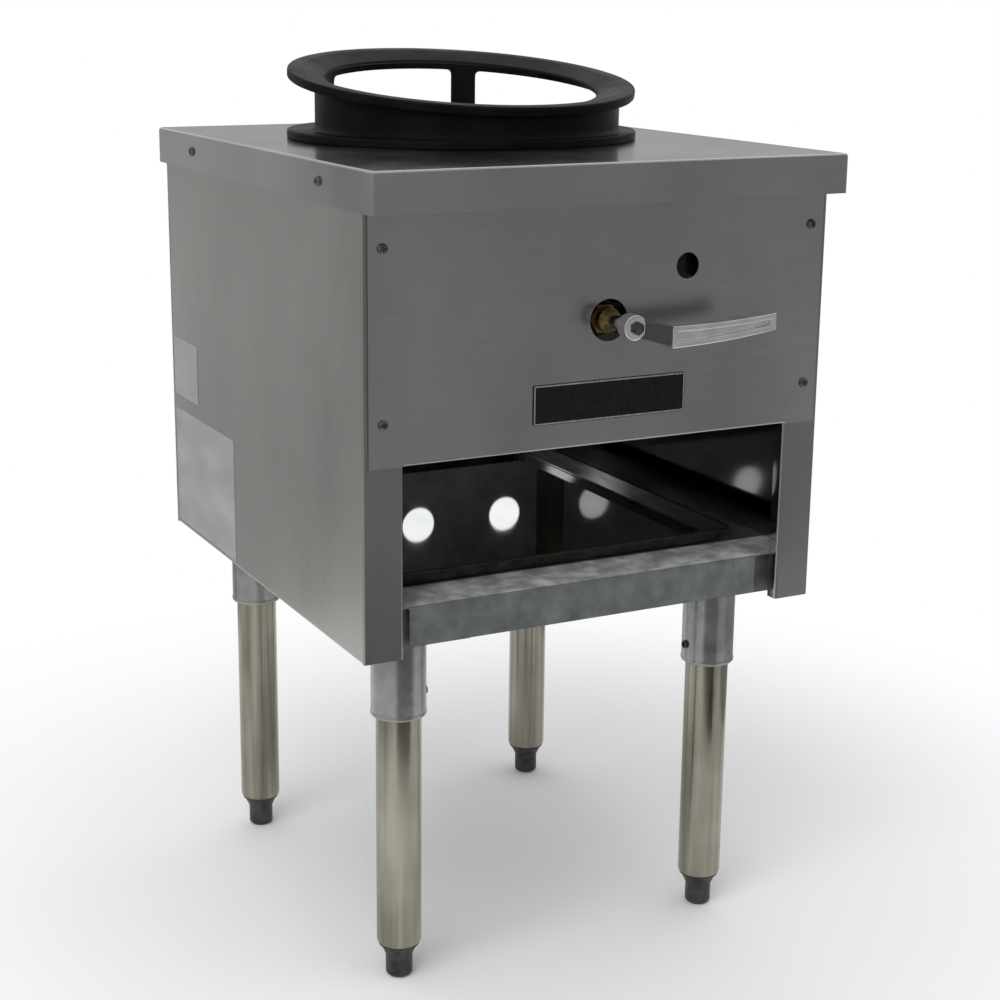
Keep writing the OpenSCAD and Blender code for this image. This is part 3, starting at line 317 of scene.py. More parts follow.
def dress(finish, *nodes):
    """Gives CAD nodes whose shape is right their finish."""
    for node in nodes:
        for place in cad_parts[node].material_slots:
            place.material = finish


dress(channel_zinc, "left_base_channel", "right_base_channel")


# Shelf: one galvanised sheet with a stiffening rail folded down along its front edge.
# The bare lip in front of the tray has a lighter copy of the zinc, painted light where it faces up, and the
# rest of the sheet and the rail have a darker copy, painted shade.
rail_end_gap = 13 * mm
lip_strip = 52 * mm


def sheet_grid(shape, rows):
    """Lays a sheet over rows of points, and returns the edge in the middle of its first row."""
    grid = [[shape.verts.new(point) for point in row] for row in rows]
    for near, far in zip(grid, grid[1:]):
        for i in range(len(near) - 1):
            shape.faces.new((near[i], near[i + 1], far[i + 1], far[i]))
    start, stop = grid[0][1:3]
    return [e for e in start.link_edges if e.other_vert(start) is stop]


# Darker copy of the zinc for the shelf and its rail: painted shade.
shaded_shelf_zinc = galvanised_zinc("shaded_shelf_zinc", (0.12, 0.138, 0.142), (0.226, 0.243, 0.246))
# Lighter copy of the zinc for the lip: painted light.
lit_lip_zinc = galvanised_zinc("lit_lip_zinc", (0.41, 0.415, 0.41), (0.84, 0.83, 0.815), 0.3, (0.4, 0.66))
low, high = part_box("base_shelf")
rail_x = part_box("right_side_panel")[0].x - rail_end_gap
columns = (low.x, -rail_x, rail_x, high.x)
shelf = bmesh.new()
rail = sheet_grid(shelf, [[(x, y, high.z) for x in columns] for y in (low.y, low.y + lip_strip, high.y)])
fold_over(shelf, rail, (0, 0, low.z - high.z))
thicken(shelf, Vector((0, 0, low.z)), sheet_t)
# The upward faces of the lip in front of the tray take the lighter copy: painted light.
for face in shelf.faces:
    if face.normal.z > square_on and face.calc_center_median().y < low.y + lip_strip:
        face.material_index = 1
as_piece(shelf, "shelf_sheet", "cabinet", [shaded_shelf_zinc, lit_lip_zinc], ["base_shelf"])


# Leg sockets: a zinc-plated sleeve with a rolled lower lip, welded through a square plate with rounded
# corners, which is welded up inside the base channel.
sleeve_r = 25 * mm
sleeve_bore_r = 20.85 * mm
plate_t = 4 * mm
plate_corner_r = 8 * mm
lip_h = 5 * mm
lip_swell = 0.5 * mm
lip_slope_h = 1.5 * mm
socket_edge_r = 0.6 * mm
weld = 0.001 * mm


def turned(shape, profile, centre, along_y=False, steps=round_steps):
    """Spins a profile of radius and height round an upright axis through a point, or one along y."""
    before = set(shape.verts)
    verts = [shape.verts.new((r, 0, z)) for r, z in profile]
    edges = [shape.edges.new(pair) for pair in zip(verts, verts[1:])]
    bmesh.ops.spin(shape, geom=verts + edges, cent=(0, 0, 0), axis=(0, 0, 1), dvec=(0, 0, 0),
                   angle=math.tau, steps=steps, use_merge=True, use_duplicate=False)
    made = [v for v in shape.verts if v not in before]
    bmesh.ops.remove_doubles(shape, verts=made, dist=weld)
    made = [v for v in shape.verts if v not in before]
    place = Matrix.Translation(centre)
    if along_y:
        place = place @ Matrix.Rotation(-math.pi / 2, 4, "X")
    bmesh.ops.transform(shape, matrix=place, verts=made)
    bmesh.ops.recalc_face_normals(shape, faces=list({f for v in made for f in v.link_faces}))


def sharp_edges(shape, over):
    """The edges where two faces meet at more than an angle."""
    limit = math.radians(over)
    return [e for e in shape.edges if len(e.link_faces) == 2 and e.calc_face_angle(0) > limit]


def ease_edges(shape, radius, steps=3, over=35):
    """Rounds every edge where two faces meet at more than an angle."""
    round_edges(shape, sharp_edges(shape, over), radius, steps)


def block(shape, low, high):
    """A box between two corners; returns its vertices."""
    size = Matrix.Diagonal((*(Vector(high) - Vector(low)), 1))
    place = Matrix.Translation((Vector(low) + Vector(high)) / 2)
    return bmesh.ops.create_cube(shape, size=1, matrix=place @ size)["verts"]


def between(verts, axis):
    """The edges among some vertices that run along one axis."""
    edges = {e for v in verts for e in v.link_edges}
    return [e for e in edges if abs((e.verts[0].co - e.verts[1].co).normalized()[axis]) > square_on]


socket_zinc = galvanised_zinc("socket_zinc", (0.25, 0.25, 0.248), (0.36, 0.361, 0.357), 0.8,
                              gloss=(0.2, 0.3))
corners = ("front_left", "front_right", "rear_left", "rear_right")
for corner in corners:
    low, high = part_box(corner + "_socket")
    middle = (low + high) / 2
    sleeve_h = high.z - low.z - plate_t
    socket = bmesh.new()
    plate = block(socket, (low.x, low.y, high.z - plate_t), high)
    round_edges(socket, between(plate, 2), plate_corner_r)
    turned(socket, (
        (sleeve_bore_r, 0),
        (sleeve_r, 0),
        (sleeve_r + lip_swell, lip_slope_h),
        (sleeve_r + lip_swell, lip_h - lip_slope_h),
        (sleeve_r, lip_h),
        (sleeve_r, sleeve_h),
        (sleeve_bore_r, sleeve_h),
        (sleeve_bore_r, 0),
    ), (middle.x, middle.y, low.z))
    ease_edges(socket, socket_edge_r, 2)
    as_piece(socket, corner + "_leg_socket", "cabinet", [socket_zinc], [corner + "_socket"])


# Leg tubes: plated round tube, drawn bright and then dulled by handling, with the lower end spun in
# over the foot. The plating has a warm cast and long faint streaks, partly drawing marks and partly painted
# reflection of dark things around the leg.
leg_wall = 1.5 * mm
spun_in = 1.2 * mm
spun_h = 3.6 * mm
spun_start_in = 0.36 * mm

leg_plating = begin_finish("leg_plating", Metallic=1.0)
# Vertical streaks: partly drawing marks, partly painted reflection.
streak_reflections = grain(leg_plating, (130, 130, 4), 3.0)
mist = grain(leg_plating, (18, 18, 10), 3.0)
worn = blend(leg_plating, mist, streak_reflections, 0.5)
tint(leg_plating, worn, (0.17, 0.158, 0.126), (0.4, 0.378, 0.318))
polish(leg_plating, worn, 0.12, 0.26)
for corner in corners:
    low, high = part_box(corner + "_leg")
    middle = (low + high) / 2
    tube_r = (high.x - low.x) / 2
    length = high.z - low.z
    leg = bmesh.new()
    turned(leg, (
        (tube_r - leg_wall, length),
        (tube_r, length),
        (tube_r, spun_h),
        (tube_r - spun_start_in, spun_in),
        (tube_r - spun_in, 0),
        (tube_r - leg_wall - spun_in, 0),
        (tube_r - leg_wall, spun_h),
        (tube_r - leg_wall, length),
    ), (middle.x, middle.y, low.z))
    as_piece(leg, corner + "_leg_tube", "cabinet", [leg_plating], [corner + "_leg"], 50)


# Set screws: blackened headless screws that lock each leg in its sleeve, from the inward side.
# Each has a key recess in its outer end.
screw_r = 4 * mm
screw_gap = 0.4 * mm
screw_stand_out = 2.5 * mm
screw_edge_r = 0.5 * mm
key_r = 2.4 * mm
key_depth = 2 * mm


def add_part(shape, part):
    """Puts a finished part into a shape and lets the part go."""
    copy = bpy.data.meshes.new("part")
    part.to_mesh(copy)
    part.free()
    shape.from_mesh(copy)
    bpy.data.meshes.remove(copy)


screw_black = mottled("set_screw_black", (260, 260, 260), 3.0, (0.05, 0.05, 0.052), (0.13, 0.13, 0.13),
                      0.3, 0.5, Metallic=0.9)
low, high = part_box("socket_set_screws")
seat_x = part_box("front_right_leg")[0].x - screw_gap
length = sleeve_r + screw_stand_out - tube_r - screw_gap
screws = bmesh.new()
for side in (-1, 1):
    for corner in ("front_left", "rear_left"):
        leg_low, leg_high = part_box(corner + "_leg")
        seat = Vector((side * seat_x, (leg_low.y + leg_high.y) / 2, (low.z + high.z) / 2))
        one = bmesh.new()
        turned(one, ((0, 0), (screw_r, 0), (screw_r, length), (0, length)), (0, 0, 0), steps=24)
        bmesh.ops.dissolve_limit(one, angle_limit=math.radians(1), verts=one.verts[:], edges=one.edges[:])
        ease_edges(one, screw_edge_r, 2)
        end = max(one.faces, key=lambda f: f.calc_center_median().z)
        bmesh.ops.inset_region(one, faces=[end], thickness=screw_r - key_r - screw_edge_r)
        push(one, bmesh.ops.extrude_face_region(one, geom=[end]), (0, 0, -key_depth))
        bmesh.ops.delete(one, geom=[end], context="FACES")
        inward = Matrix.Translation(seat) @ Matrix.Rotation(-side * math.pi / 2, 4, "Y")
        bmesh.ops.transform(one, matrix=inward, verts=one.verts[:])
        add_part(screws, one)
as_piece(screws, "leg_set_screws", "cabinet", [screw_black], ["socket_set_screws"])


# Feet: turned steel bullets, blackened, with a tapered shoulder under the leg and a stud that screws up
# into a threaded plug in the tube, so that the range can be levelled.
foot_r = 12.5 * mm
shoulder_h = 13 * mm
shoulder_top = 34 * mm
collar_h = 2 * mm
collar_flare = 2 * mm
collar_flare_h = 1 * mm
stud_r = 8 * mm
toe = 3 * mm
foot_edge_r = 0.8 * mm

foot_steel = begin_finish("foot_steel", Metallic=0.75)
turning = grain(foot_steel, (60, 60, 900), 2.0)
scuffs = grain(foot_steel, (80, 80, 80), 4.0)
worn = blend(foot_steel, scuffs, turning, 0.35)
tint(foot_steel, worn, (0.028, 0.028, 0.027), (0.085, 0.085, 0.08))
polish(foot_steel, worn, 0.34, 0.52)
for corner in corners:
    node = corner + "_foot"
    low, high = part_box(node)
    middle = (low + high) / 2
    shoulder_r = (high.x - low.x) / 2
    foot = bmesh.new()
    turned(foot, (
        (0, 0),
        (foot_r - toe, 0),
        (foot_r, toe),
        (foot_r, shoulder_top - shoulder_h),
        (shoulder_r - collar_flare, shoulder_top - collar_h - collar_flare_h),
        (shoulder_r, shoulder_top - collar_h),
        (shoulder_r, shoulder_top),
        (stud_r, shoulder_top),
        (stud_r, high.z - low.z),
        (0, high.z - low.z),
    ), (middle.x, middle.y, low.z))
    ease_edges(foot, foot_edge_r)
    as_piece(foot, corner + "_bullet_foot", node, [foot_steel], [node])
dress(foot_steel, "leg_plugs")


# Drip tray: thin bright sheet pressed into a shallow tray with rounded corners and a flat rim, which slides
# on the shelf. The inside mirrors the cabinet, and the rim, corners and outside are painted near-black:
# painted shade, which also hides glints in the corners.
tray_t = 1 * mm
tray_rim = 4 * mm
tray_draft = 8 * mm
tray_corner_r = 12 * mm
tray_foot_r = 3 * mm
level_floor = 0.999
corner_turn = 0.15

tray_mirror = begin_finish("tray_mirror", Metallic=1.0)
smears = grain(tray_mirror, (9, 4, 9), 4.0)
dents = grain(tray_mirror, (5, 5, 5), 1.0)
tint(tray_mirror, smears, (0.74, 0.765, 0.77), (0.92, 0.94, 0.94))
polish(tray_mirror, smears, 0.02, 0.06)
emboss(tray_mirror, dents, 0.06 * mm)
drawn_wall = mottled("drawn_wall", (30, 30, 400), 3.0, (0.5, 0.515, 0.52), (0.66, 0.675, 0.68),
                     0.14, 0.24, Metallic=1.0)
# Near-black for the rim, corners and outside of the tray: painted shade.
painted_shade_tray = mottled("painted_shade_tray", (70, 70, 70), 5.0, (0.012, 0.011, 0.01), (0.045, 0.042, 0.038),
                    0.34, 0.58, 0.05 * mm, Metallic=0.5)


def widen(shape, verts, middle, by):
    """Moves some vertices out from a middle, so that each side that they make moves by a distance."""
    half = [max(abs(v.co[axis] - middle[axis]) for v in verts) for axis in (0, 1)]
    grow = Matrix.Diagonal((1 + by / half[0], 1 + by / half[1], 1, 1))
    about = Matrix.Translation(middle) @ grow @ Matrix.Translation(-middle)
    bmesh.ops.transform(shape, matrix=about, verts=verts)


low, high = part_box("drip_tray")
middle = (low + high) / 2
inside_rim = Vector((tray_rim, tray_rim, 0))
tray = bmesh.new()
verts = block(tray, low + inside_rim, high - inside_rim)
lid = max(tray.faces, key=lambda f: f.calc_center_median().z)
bmesh.ops.delete(tray, geom=[lid], context="FACES_ONLY")
round_edges(tray, between(verts, 2), tray_corner_r, 6)
widen(tray, [v for v in tray.verts if v.co.z < middle.z], middle, -tray_draft)
floor_edges = [e for e in tray.edges if max(v.co.z for v in e.verts) < low.z + touch]
round_edges(tray, floor_edges, tray_foot_r, 3)
top_edges = [e for e in tray.edges if e.is_boundary]
widen(tray, new_points(bmesh.ops.extrude_edge_only(tray, edges=top_edges)), middle, tray_rim)
thicken(tray, middle, tray_t)
# The rim, the inner corners and the outward faces take the near-black, painted shade; the walls take the
# drawn finish.
for face in tray.faces:
    in_corner = min(abs(face.normal.x), abs(face.normal.y)) > corner_turn
    if in_corner or (face.calc_center_median() - middle).dot(face.normal) > 0:
        face.material_index = 2
    elif face.normal.z < level_floor:
        face.material_index = 1
as_piece(tray, "pressed_tray", "drip_tray", [tray_mirror, drawn_wall, painted_shade_tray],
         ["drip_tray"])


# Burner: a sand-cast gas box on a flat cross bar, with screwed brass jets. The casting is left raw and
# the fire has browned it, and the jets have gone dull.
casting_voxel = 1.3 * mm

cast_iron = begin_finish("burner_cast_iron", Metallic=0.35)
sand = grain(cast_iron, (700, 700, 700), 3.0)
rust = grain(cast_iron, (45, 45, 45), 5.0)
tint(cast_iron, blend(cast_iron, rust, sand, 0.3), (0.02, 0.019, 0.018), (0.075, 0.058, 0.046))
polish(cast_iron, rust, 0.6, 0.85)
emboss(cast_iron, sand, 0.12 * mm)
jet_brass = mottled("jet_brass", (160, 160, 160), 4.0, (0.34, 0.22, 0.08), (0.62, 0.45, 0.18),
                    0.24, 0.46, Metallic=1.0)
bar_steel = mottled("bar_steel", (60, 60, 60), 5.0, (0.035, 0.036, 0.04), (0.11, 0.11, 0.115),
                    0.42, 0.66, 0.05 * mm, Metallic=0.8)


def sand_casting(node, name, body, finish, voxel):
    """A casting made from its CAD solid, with the soft edges and fillets that a sand mould leaves."""
    shape = bmesh.new()
    shape.from_mesh(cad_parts[node].data)
    bmesh.ops.remove_doubles(shape, verts=shape.verts[:], dist=weld)
    casting = as_piece(shape, name, body, [finish], [node])
    mould = casting.modifiers.new("mould", "REMESH")
    mould.mode = "VOXEL"
    mould.voxel_size = voxel
    mould.use_smooth_shade = True
    soften = casting.modifiers.new("soften", "SMOOTH")
    soften.factor = 0.5
    soften.iterations = 8


sand_casting("burner_head", "burner_casting", "cabinet", cast_iron, casting_voxel)
dress(jet_brass, "burner_tips")
dress(bar_steel, "burner_cross_bar")


# Gas line: black iron pipe and malleable fittings from the inlet at the back to the brass lever valve,
# and from there to the burner. Zinc clips hold the long pipe to the right side.
pipe_black = mottled("pipe_black", (90, 90, 90), 4.0, (0.014, 0.014, 0.015), (0.04, 0.039, 0.038),
                     0.38, 0.6, 0.03 * mm, Metallic=0.3)
fitting_iron = mottled("fitting_iron", (420, 420, 420), 3.0, (0.022, 0.022, 0.022), (0.06, 0.057, 0.054),
                       0.5, 0.72, 0.1 * mm, Metallic=0.35)
valve_brass = mottled("valve_brass", (110, 110, 110), 4.0, (0.12, 0.088, 0.036), (0.34, 0.25, 0.105),
                      0.26, 0.5, Metallic=1.0)
dress(pipe_black, "supply_nipple", "burner_pipe", "manifold_pipe", "inlet_drop_pipe")
dress(fitting_iron, "supply_elbow", "manifold_elbow", "inlet_elbow", "inlet_locknut")
dress(channel_zinc, "pipe_clips")
dress(valve_brass, "valve_body", "valve_bonnet")


# Inlet pipe: three-quarter-inch pipe whose end behind the cabinet is cut with a screw thread
# for the gas hose. The thread is a ridge wound round the plain end.
thread_l = 20 * mm
thread_core_r = 12.2 * mm
thread_r = 12.7 * mm
thread_pitch = 1.8 * mm
thread_lead_in = 0.5 * mm
thread_run_out = 2 * mm
thread_root_sink = 0.2 * mm
thread_steps = 32
inlet_wall = 2.8 * mm
inlet_chamfer = 1 * mm

inlet = bmesh.new()
length = inlet_high.y - inlet_low.y
turned(inlet, (
    (inlet_r - inlet_wall, 0),
    (inlet_r, 0),
    (inlet_r, length - thread_l - inlet_chamfer),
    (thread_core_r, length - thread_l),
    (thread_core_r, length - inlet_chamfer),
    (thread_core_r - inlet_chamfer, length),
    (inlet_r - inlet_wall, length),
    (inlet_r - inlet_wall, 0),
), (inlet_x, inlet_low.y, inlet_z), along_y=True)
thread_start = inlet_high.y - thread_l + thread_lead_in
thread_root_r = thread_core_r - thread_root_sink
ridge = ((thread_root_r, -thread_pitch / 2), (thread_r, 0), (thread_root_r, thread_pitch / 2))
verts = [inlet.verts.new((inlet_x + r, thread_start + y, inlet_z)) for r, y in ridge]
edges = [inlet.edges.new(pair) for pair in zip(verts, verts[1:])]
turns = int((thread_l - thread_run_out) / thread_pitch)
bmesh.ops.spin(inlet, geom=verts + edges, cent=(inlet_x, thread_start, inlet_z), axis=(0, 1, 0),
               dvec=(0, thread_pitch / thread_steps, 0), angle=turns * math.tau, steps=turns * thread_steps,
               use_merge=False, use_duplicate=False)
agree_sides(inlet)
as_piece(inlet, "threaded_inlet", "cabinet", [pipe_black], ["inlet_pipe"])


# Pilot: a small brass valve on the manifold behind the round hole, with a slotted adjusting screw,
# a bent aluminium tube and a pilot burner beside the main one.
tube_aluminium = mottled("tube_aluminium", (240, 240, 240), 3.0, (0.48, 0.48, 0.49), (0.66, 0.66, 0.67),
                         0.26, 0.42, Metallic=1.0)
dress(valve_brass, "pilot_valve")
dress(jet_brass, "pilot_screw", "pilot_burner")
dress(tube_aluminium, "pilot_tube")


# Combustion chamber: a rolled steel shell hung from studs under the top plate, blued by heat, with a
# cast refractory liner that narrows towards the burner.
chamber_steel = mottled("chamber_steel", (14, 14, 14), 5.0, (0.03, 0.031, 0.036), (0.1, 0.085, 0.075),
                        0.45, 0.7, Metallic=0.7)
fired_clay = begin_finish("fired_clay", Specular_IOR_Level=0.2)
pores = grain(fired_clay, (420, 420, 420), 4.0)
soot = grain(fired_clay, (16, 16, 9), 4.0)
tint(fired_clay, blend(fired_clay, soot, pores, 0.35), (0.16, 0.125, 0.1), (0.46, 0.38, 0.3))
polish(fired_clay, pores, 0.85, 1.0)
emboss(fired_clay, pores, 0.4 * mm)
zinc_screw = mottled("zinc_screw", (300, 300, 300), 3.0, (0.1, 0.1, 0.1), (0.21, 0.21, 0.205),
                     0.3, 0.48, Metallic=1.0)
dress(chamber_steel, "combustion_chamber")
dress(fired_clay, "chamber_liner")
dress(zinc_screw, "chamber_nuts")


# Top plate: one brushed stainless sheet folded down on all four sides into an apron, with welded and
# ground corners, punched for the burner and screwed to the side panels.
apron_bend_r = 3.2 * mm
burner_hole_r = 144 * mm
cross_hair = (22, 1500, 1500)

top_steel = brushed_stainless("top_stainless", cross_hair, (0.37, 0.366, 0.36), (0.46, 0.456, 0.45),
                              0.12, 0.22)
low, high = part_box("top_plate")
liner_low, liner_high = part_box("chamber_liner")
burner_y = (liner_low.y + liner_high.y) / 2
plate = bmesh.new()
block(plate, low, high)
under = min(plate.faces, key=lambda f: f.calc_center_median().z)
bmesh.ops.delete(plate, geom=[under], context="FACES_ONLY")
folds = [e for e in plate.edges if max(v.co.z for v in e.verts) > high.z - touch]
round_edges(plate, folds, apron_bend_r)
deck = max(plate.faces, key=lambda f: f.calc_area() * (f.normal.z > square_on))
deck_edges = list(deck.edges)
bmesh.ops.delete(plate, geom=[deck], context="FACES_ONLY")
punched_sheet(plate, deck_edges, [((0, burner_y, high.z), burner_hole_r)])
thicken(plate, (low + high) / 2 - Vector((0, 0, high.z)), sheet_t)
as_piece(plate, "folded_top", "cabinet", [top_steel], ["top_plate"])


# Front panel: brushed stainless sheet laid over the front flanges, hemmed back along the opening and
# punched for the valve and for reaching the pilot.
valve_hole_r = 18.5 * mm
pilot_hole_r = 11.5 * mm
hem_strip = 12 * mm
hem_gap = 0.2 * mm

front_steel = brushed_stainless("front_stainless", cross_hair, (0.365, 0.355, 0.352), (0.455, 0.445, 0.44),
                                0.2, 0.32)
low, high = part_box("front_panel")
stem_low, stem_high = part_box("valve_stem")
stem = (stem_low + stem_high) / 2
pilot_low, pilot_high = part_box("pilot_screw")
pilot = (pilot_low + pilot_high) / 2
hem_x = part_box("right_side_panel")[0].x - hem_gap
hem_z = low.z + hem_strip
holes = [((stem.x, stem.z, 0), valve_hole_r), ((pilot.x, pilot.z, 0), pilot_hole_r)]
columns = (low.x, -hem_x, hem_x, high.x)
panel = bmesh.new()
punched_sheet(panel, rectangle(panel, low.x, hem_z, high.x, high.z), holes)
hem = sheet_grid(panel, [[(x, z, 0) for x in columns] for z in (low.z, hem_z)])
fold_over(panel, hem, (0, 0, low.y - high.y))
thicken(panel, Vector((0, (low.z + high.z) / 2, -1)), sheet_t)
stand_up(panel, low.y)
as_piece(panel, "front_sheet", "cabinet", [front_steel], ["front_panel"])


# Sheet-metal screws: zinc-plated pan heads with a cross recess, in the front panel, the sides of the
# top plate and the back panel.
head_r = 4.5 * mm
head_h = 2.6 * mm
cross_reach = 2.2 * mm
cross_half = 0.5 * mm
cross_depth = 1.3 * mm


def pan_head():
    """One screw head on the drawing plane, facing up."""
    shape = bmesh.new()
    turned(shape, (
        (head_r, 0),
        (head_r, 0.3 * head_h),
        (0.93 * head_r, 0.62 * head_h),
        (0.8 * head_r, 0.85 * head_h),
        (0.62 * head_r, head_h),
    ), (0, 0, 0), steps=32)
    crown = [e for e in shape.edges if min(v.co.z for v in e.verts) > head_h - touch]
    corner = ((cross_half, cross_reach), (cross_half, cross_half), (cross_reach, cross_half))
    spots = [Matrix.Rotation(-i * math.pi / 2, 2) @ Vector(c) for i in range(4) for c in corner]
    cross = closed_line(shape, [(*spot, head_h) for spot in spots])
    bmesh.ops.triangle_fill(shape, use_beauty=True, edges=crown + cross, normal=(0, 0, 1))
    push(shape, bmesh.ops.extrude_edge_only(shape, edges=cross), (0, 0, -cross_depth))
    bmesh.ops.holes_fill(shape, edges=[e for e in shape.edges if e.is_boundary], sides=0)
    agree_sides(shape)
    return shape


def set_screws(node, name, places):
    """Seats screw heads, each given by a place and a way out, in the place of a CAD group of screws."""
    shape = bmesh.new()
    for place, out in places:
        head = pan_head()
        turn = Vector((0, 0, 1)).rotation_difference(Vector(out)).to_matrix().to_4x4()
        bmesh.ops.transform(head, matrix=Matrix.Translation(place) @ turn, verts=head.verts[:])
        add_part(shape, head)
    as_piece(shape, name, "cabinet", [zinc_screw], [node])


low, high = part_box("front_panel_screws")
face_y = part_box("front_panel")[0].y
sides = (low.x + head_r, high.x - head_r)
heights = (low.z + head_r, high.z - head_r)
places = [((x, face_y, z), (0, -1, 0)) for x in sides for z in heights]
set_screws("front_panel_screws", "front_screw_heads", places)

low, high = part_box("top_plate_screws")
edge_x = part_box("top_plate")[1].x
head_z = (low.z + high.z) / 2
depths = (low.y + head_r, high.y - head_r)
places = [((side * edge_x, y, head_z), (side, 0, 0)) for side in (-1, 1) for y in depths]
set_screws("top_plate_screws", "top_screw_heads", places)

low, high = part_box("back_panel_screws")
face_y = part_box("back_panel")[1].y
sides = (low.x + head_r, high.x - head_r)
heights = (low.z + head_r, (low.z + high.z) / 2, high.z - head_r)
places = [((x, face_y, z), (0, 1, 0)) for x in sides for z in heights]
set_screws("back_panel_screws", "back_screw_heads", places)


# Name plate: a bare gloss-black plate with rounded corners and a thin pale line round it,
# stuck on the front panel below the lever.
plate_corner = 1.6 * mm
line_in = 0.5 * mm
line_w = 1.2 * mm
line_rise = 0.15 * mm

plate_gloss = mottled("plate_gloss", (220, 220, 220), 4.0, (0.006, 0.006, 0.007), (0.009, 0.009, 0.01),
                      0.24, 0.3, Specular_IOR_Level=0.18)
plate_line = mottled("plate_line", (400, 400, 400), 3.0, (0.26, 0.26, 0.25), (0.42, 0.42, 0.41),
                     0.3, 0.45, Metallic=0.6)
low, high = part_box("name_plate")
badge = bmesh.new()
verts = block(badge, low, high)
round_edges(badge, between(verts, 1), plate_corner)
face = min(badge.faces, key=lambda f: f.calc_center_median().y)
bmesh.ops.translate(badge, verts=list(face.verts), vec=(0, line_rise, 0))
bmesh.ops.inset_region(badge, faces=[face], thickness=line_in, use_even_offset=True)
line = bmesh.ops.inset_region(badge, faces=[face], thickness=line_w, use_even_offset=True)["faces"]
made = bmesh.ops.extrude_face_region(badge, geom=line, use_keep_orig=False)
push(badge, made, (0, -line_rise, 0))
for raised in made["geom"]:
    if isinstance(raised, bmesh.types.BMFace):
        raised.material_index = 1
bmesh.ops.delete(badge, geom=[f for f in line if f.is_valid], context="FACES_ONLY")
agree_sides(badge)
as_piece(badge, "bare_name_plate", "cabinet", [plate_gloss, plate_line], ["name_plate"])


# Stickers: two blank silvery labels with rounded corners at the back of the left side, a little
# greyed and rubbed, stuck flat on the sheet.
label_corner = 3 * mm
wide_label = Vector((0, 176 * mm, 122 * mm))
small_label = Vector((0, 72 * mm, 60 * mm))

label_paper = begin_finish("label_paper", Metallic=0.15)
rubbed = grain(label_paper, (12, 12, 30), 4.0)
fibre = grain(label_paper, (900, 900, 900), 2.0)
tint(label_paper, blend(label_paper, rubbed, fibre, 0.3), (0.3, 0.3, 0.305), (0.4, 0.4, 0.4))
polish(label_paper, rubbed, 0.42, 0.62)
low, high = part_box("side_stickers")
labels = bmesh.new()
for label, start in ((wide_label, low.z), (small_label, high.z - small_label.z)):
    verts = block(labels, (low.x, high.y - label.y, start), (high.x, high.y, start + label.z))
    round_edges(labels, between(verts, 0), label_corner)
as_piece(labels, "blank_labels", "cabinet", [label_paper], ["side_stickers"])


# Lever: a chromed casting with a round hub on the valve stem, a cranked neck and a tapered grip that is
# hollowed along its front face. A quarter turn down opens the gas.
hub_r = 11 * mm
hub_t = 14 * mm
bore_r = 6.2 * mm
hub_edge_r = 1.4 * mm
neck_t = 7 * mm
neck_half = 8 * mm
neck_sink = 2 * mm
neck_inset = 0.5 * mm
grip_start = 28 * mm
grip_l = 105 * mm
grip_dip = 8 * mm
grip_rise = 6.5 * mm
grip_h = 19 * mm
grip_tip_h = 15 * mm
grip_wall = 3 * mm
grip_cuts = 15
ridge_w = 5 * mm
groove_depth = 6.5 * mm
lever_edge_r = 1.1 * mm

lever_chrome = mottled("lever_chrome", (55, 55, 55), 4.0, (0.78, 0.78, 0.78), (0.91, 0.91, 0.905),
                       0.1, 0.24, Metallic=1.0)
# Dark copy of the lever metal for the cranked neck: painted shade.
painted_shade_neck = mottled("painted_shade_neck", (900, 900, 900), 3.0, (0.09, 0.09, 0.088), (0.13, 0.13, 0.127),
                    0.32, 0.44, 0.03 * mm, Metallic=0.9)
dress(lever_chrome, "valve_stem")
low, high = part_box("lever")
hub_y = high.y - hub_t
arm = bmesh.new()
grip_end = grip_start + grip_l
verts = block(arm, (grip_start, low.y, -grip_h / 2), (grip_end, hub_y + grip_wall, grip_h / 2))
bmesh.ops.subdivide_edges(arm, edges=between(verts, 0), cuts=grip_cuts, use_grid_fill=True)
for v in arm.verts:
    share = (v.co.x - grip_start) / grip_l
    half = (grip_h + (grip_tip_h - grip_h) * share) / 2
    v.co.z = grip_rise * share ** 2 - grip_dip + math.copysign(half, v.co.z)
arm.normal_update()
front = [f for f in arm.faces if f.normal.y < -square_on]
bmesh.ops.inset_region(arm, faces=front, thickness=ridge_w, use_even_offset=True)
push(arm, bmesh.ops.extrude_face_region(arm, geom=front), (0, groove_depth, 0))
bmesh.ops.delete(arm, geom=[f for f in front if f.is_valid], context="FACES_ONLY")
agree_sides(arm)
neck_end = grip_start + grip_wall
neck_end_half = grip_h / 2 - neck_inset
neck = [arm.verts.new(corner) for corner in (
    (0, hub_y + neck_sink, neck_half),
    (neck_end, low.y + neck_sink, neck_end_half - grip_dip),
    (neck_end, low.y + neck_sink, -neck_end_half - grip_dip),
    (0, hub_y + neck_sink, -neck_half),
)]
push(arm, bmesh.ops.extrude_face_region(arm, geom=[arm.faces.new(neck)]), (0, neck_t, 0))
# The neck takes the dark copy: painted shade.
for face in {f for v in neck for f in v.link_faces}:
    face.material_index = 1
agree_sides(arm)
ease_edges(arm, lever_edge_r)
bmesh.ops.translate(arm, verts=arm.verts[:], vec=(stem.x, 0, stem.z))
hub = bmesh.new()
hub_profile = ((bore_r, 0), (hub_r, 0), (hub_r, hub_t), (bore_r, hub_t), (bore_r, 0))
turned(hub, hub_profile, (stem.x, hub_y, stem.z), along_y=True)
ease_edges(hub, hub_edge_r)
add_part(arm, hub)
as_piece(arm, "lever_arm", "lever", [lever_chrome, painted_shade_neck], ["lever"])


# Lever screw: a blackened hexagon-head screw on a bright washer that clamps the hub on the stem.
# The washer lies on the hub's front face, under the head.
washer_r = 9.35 * mm
washer_t = 1.5 * mm
hex_r = 6 * mm

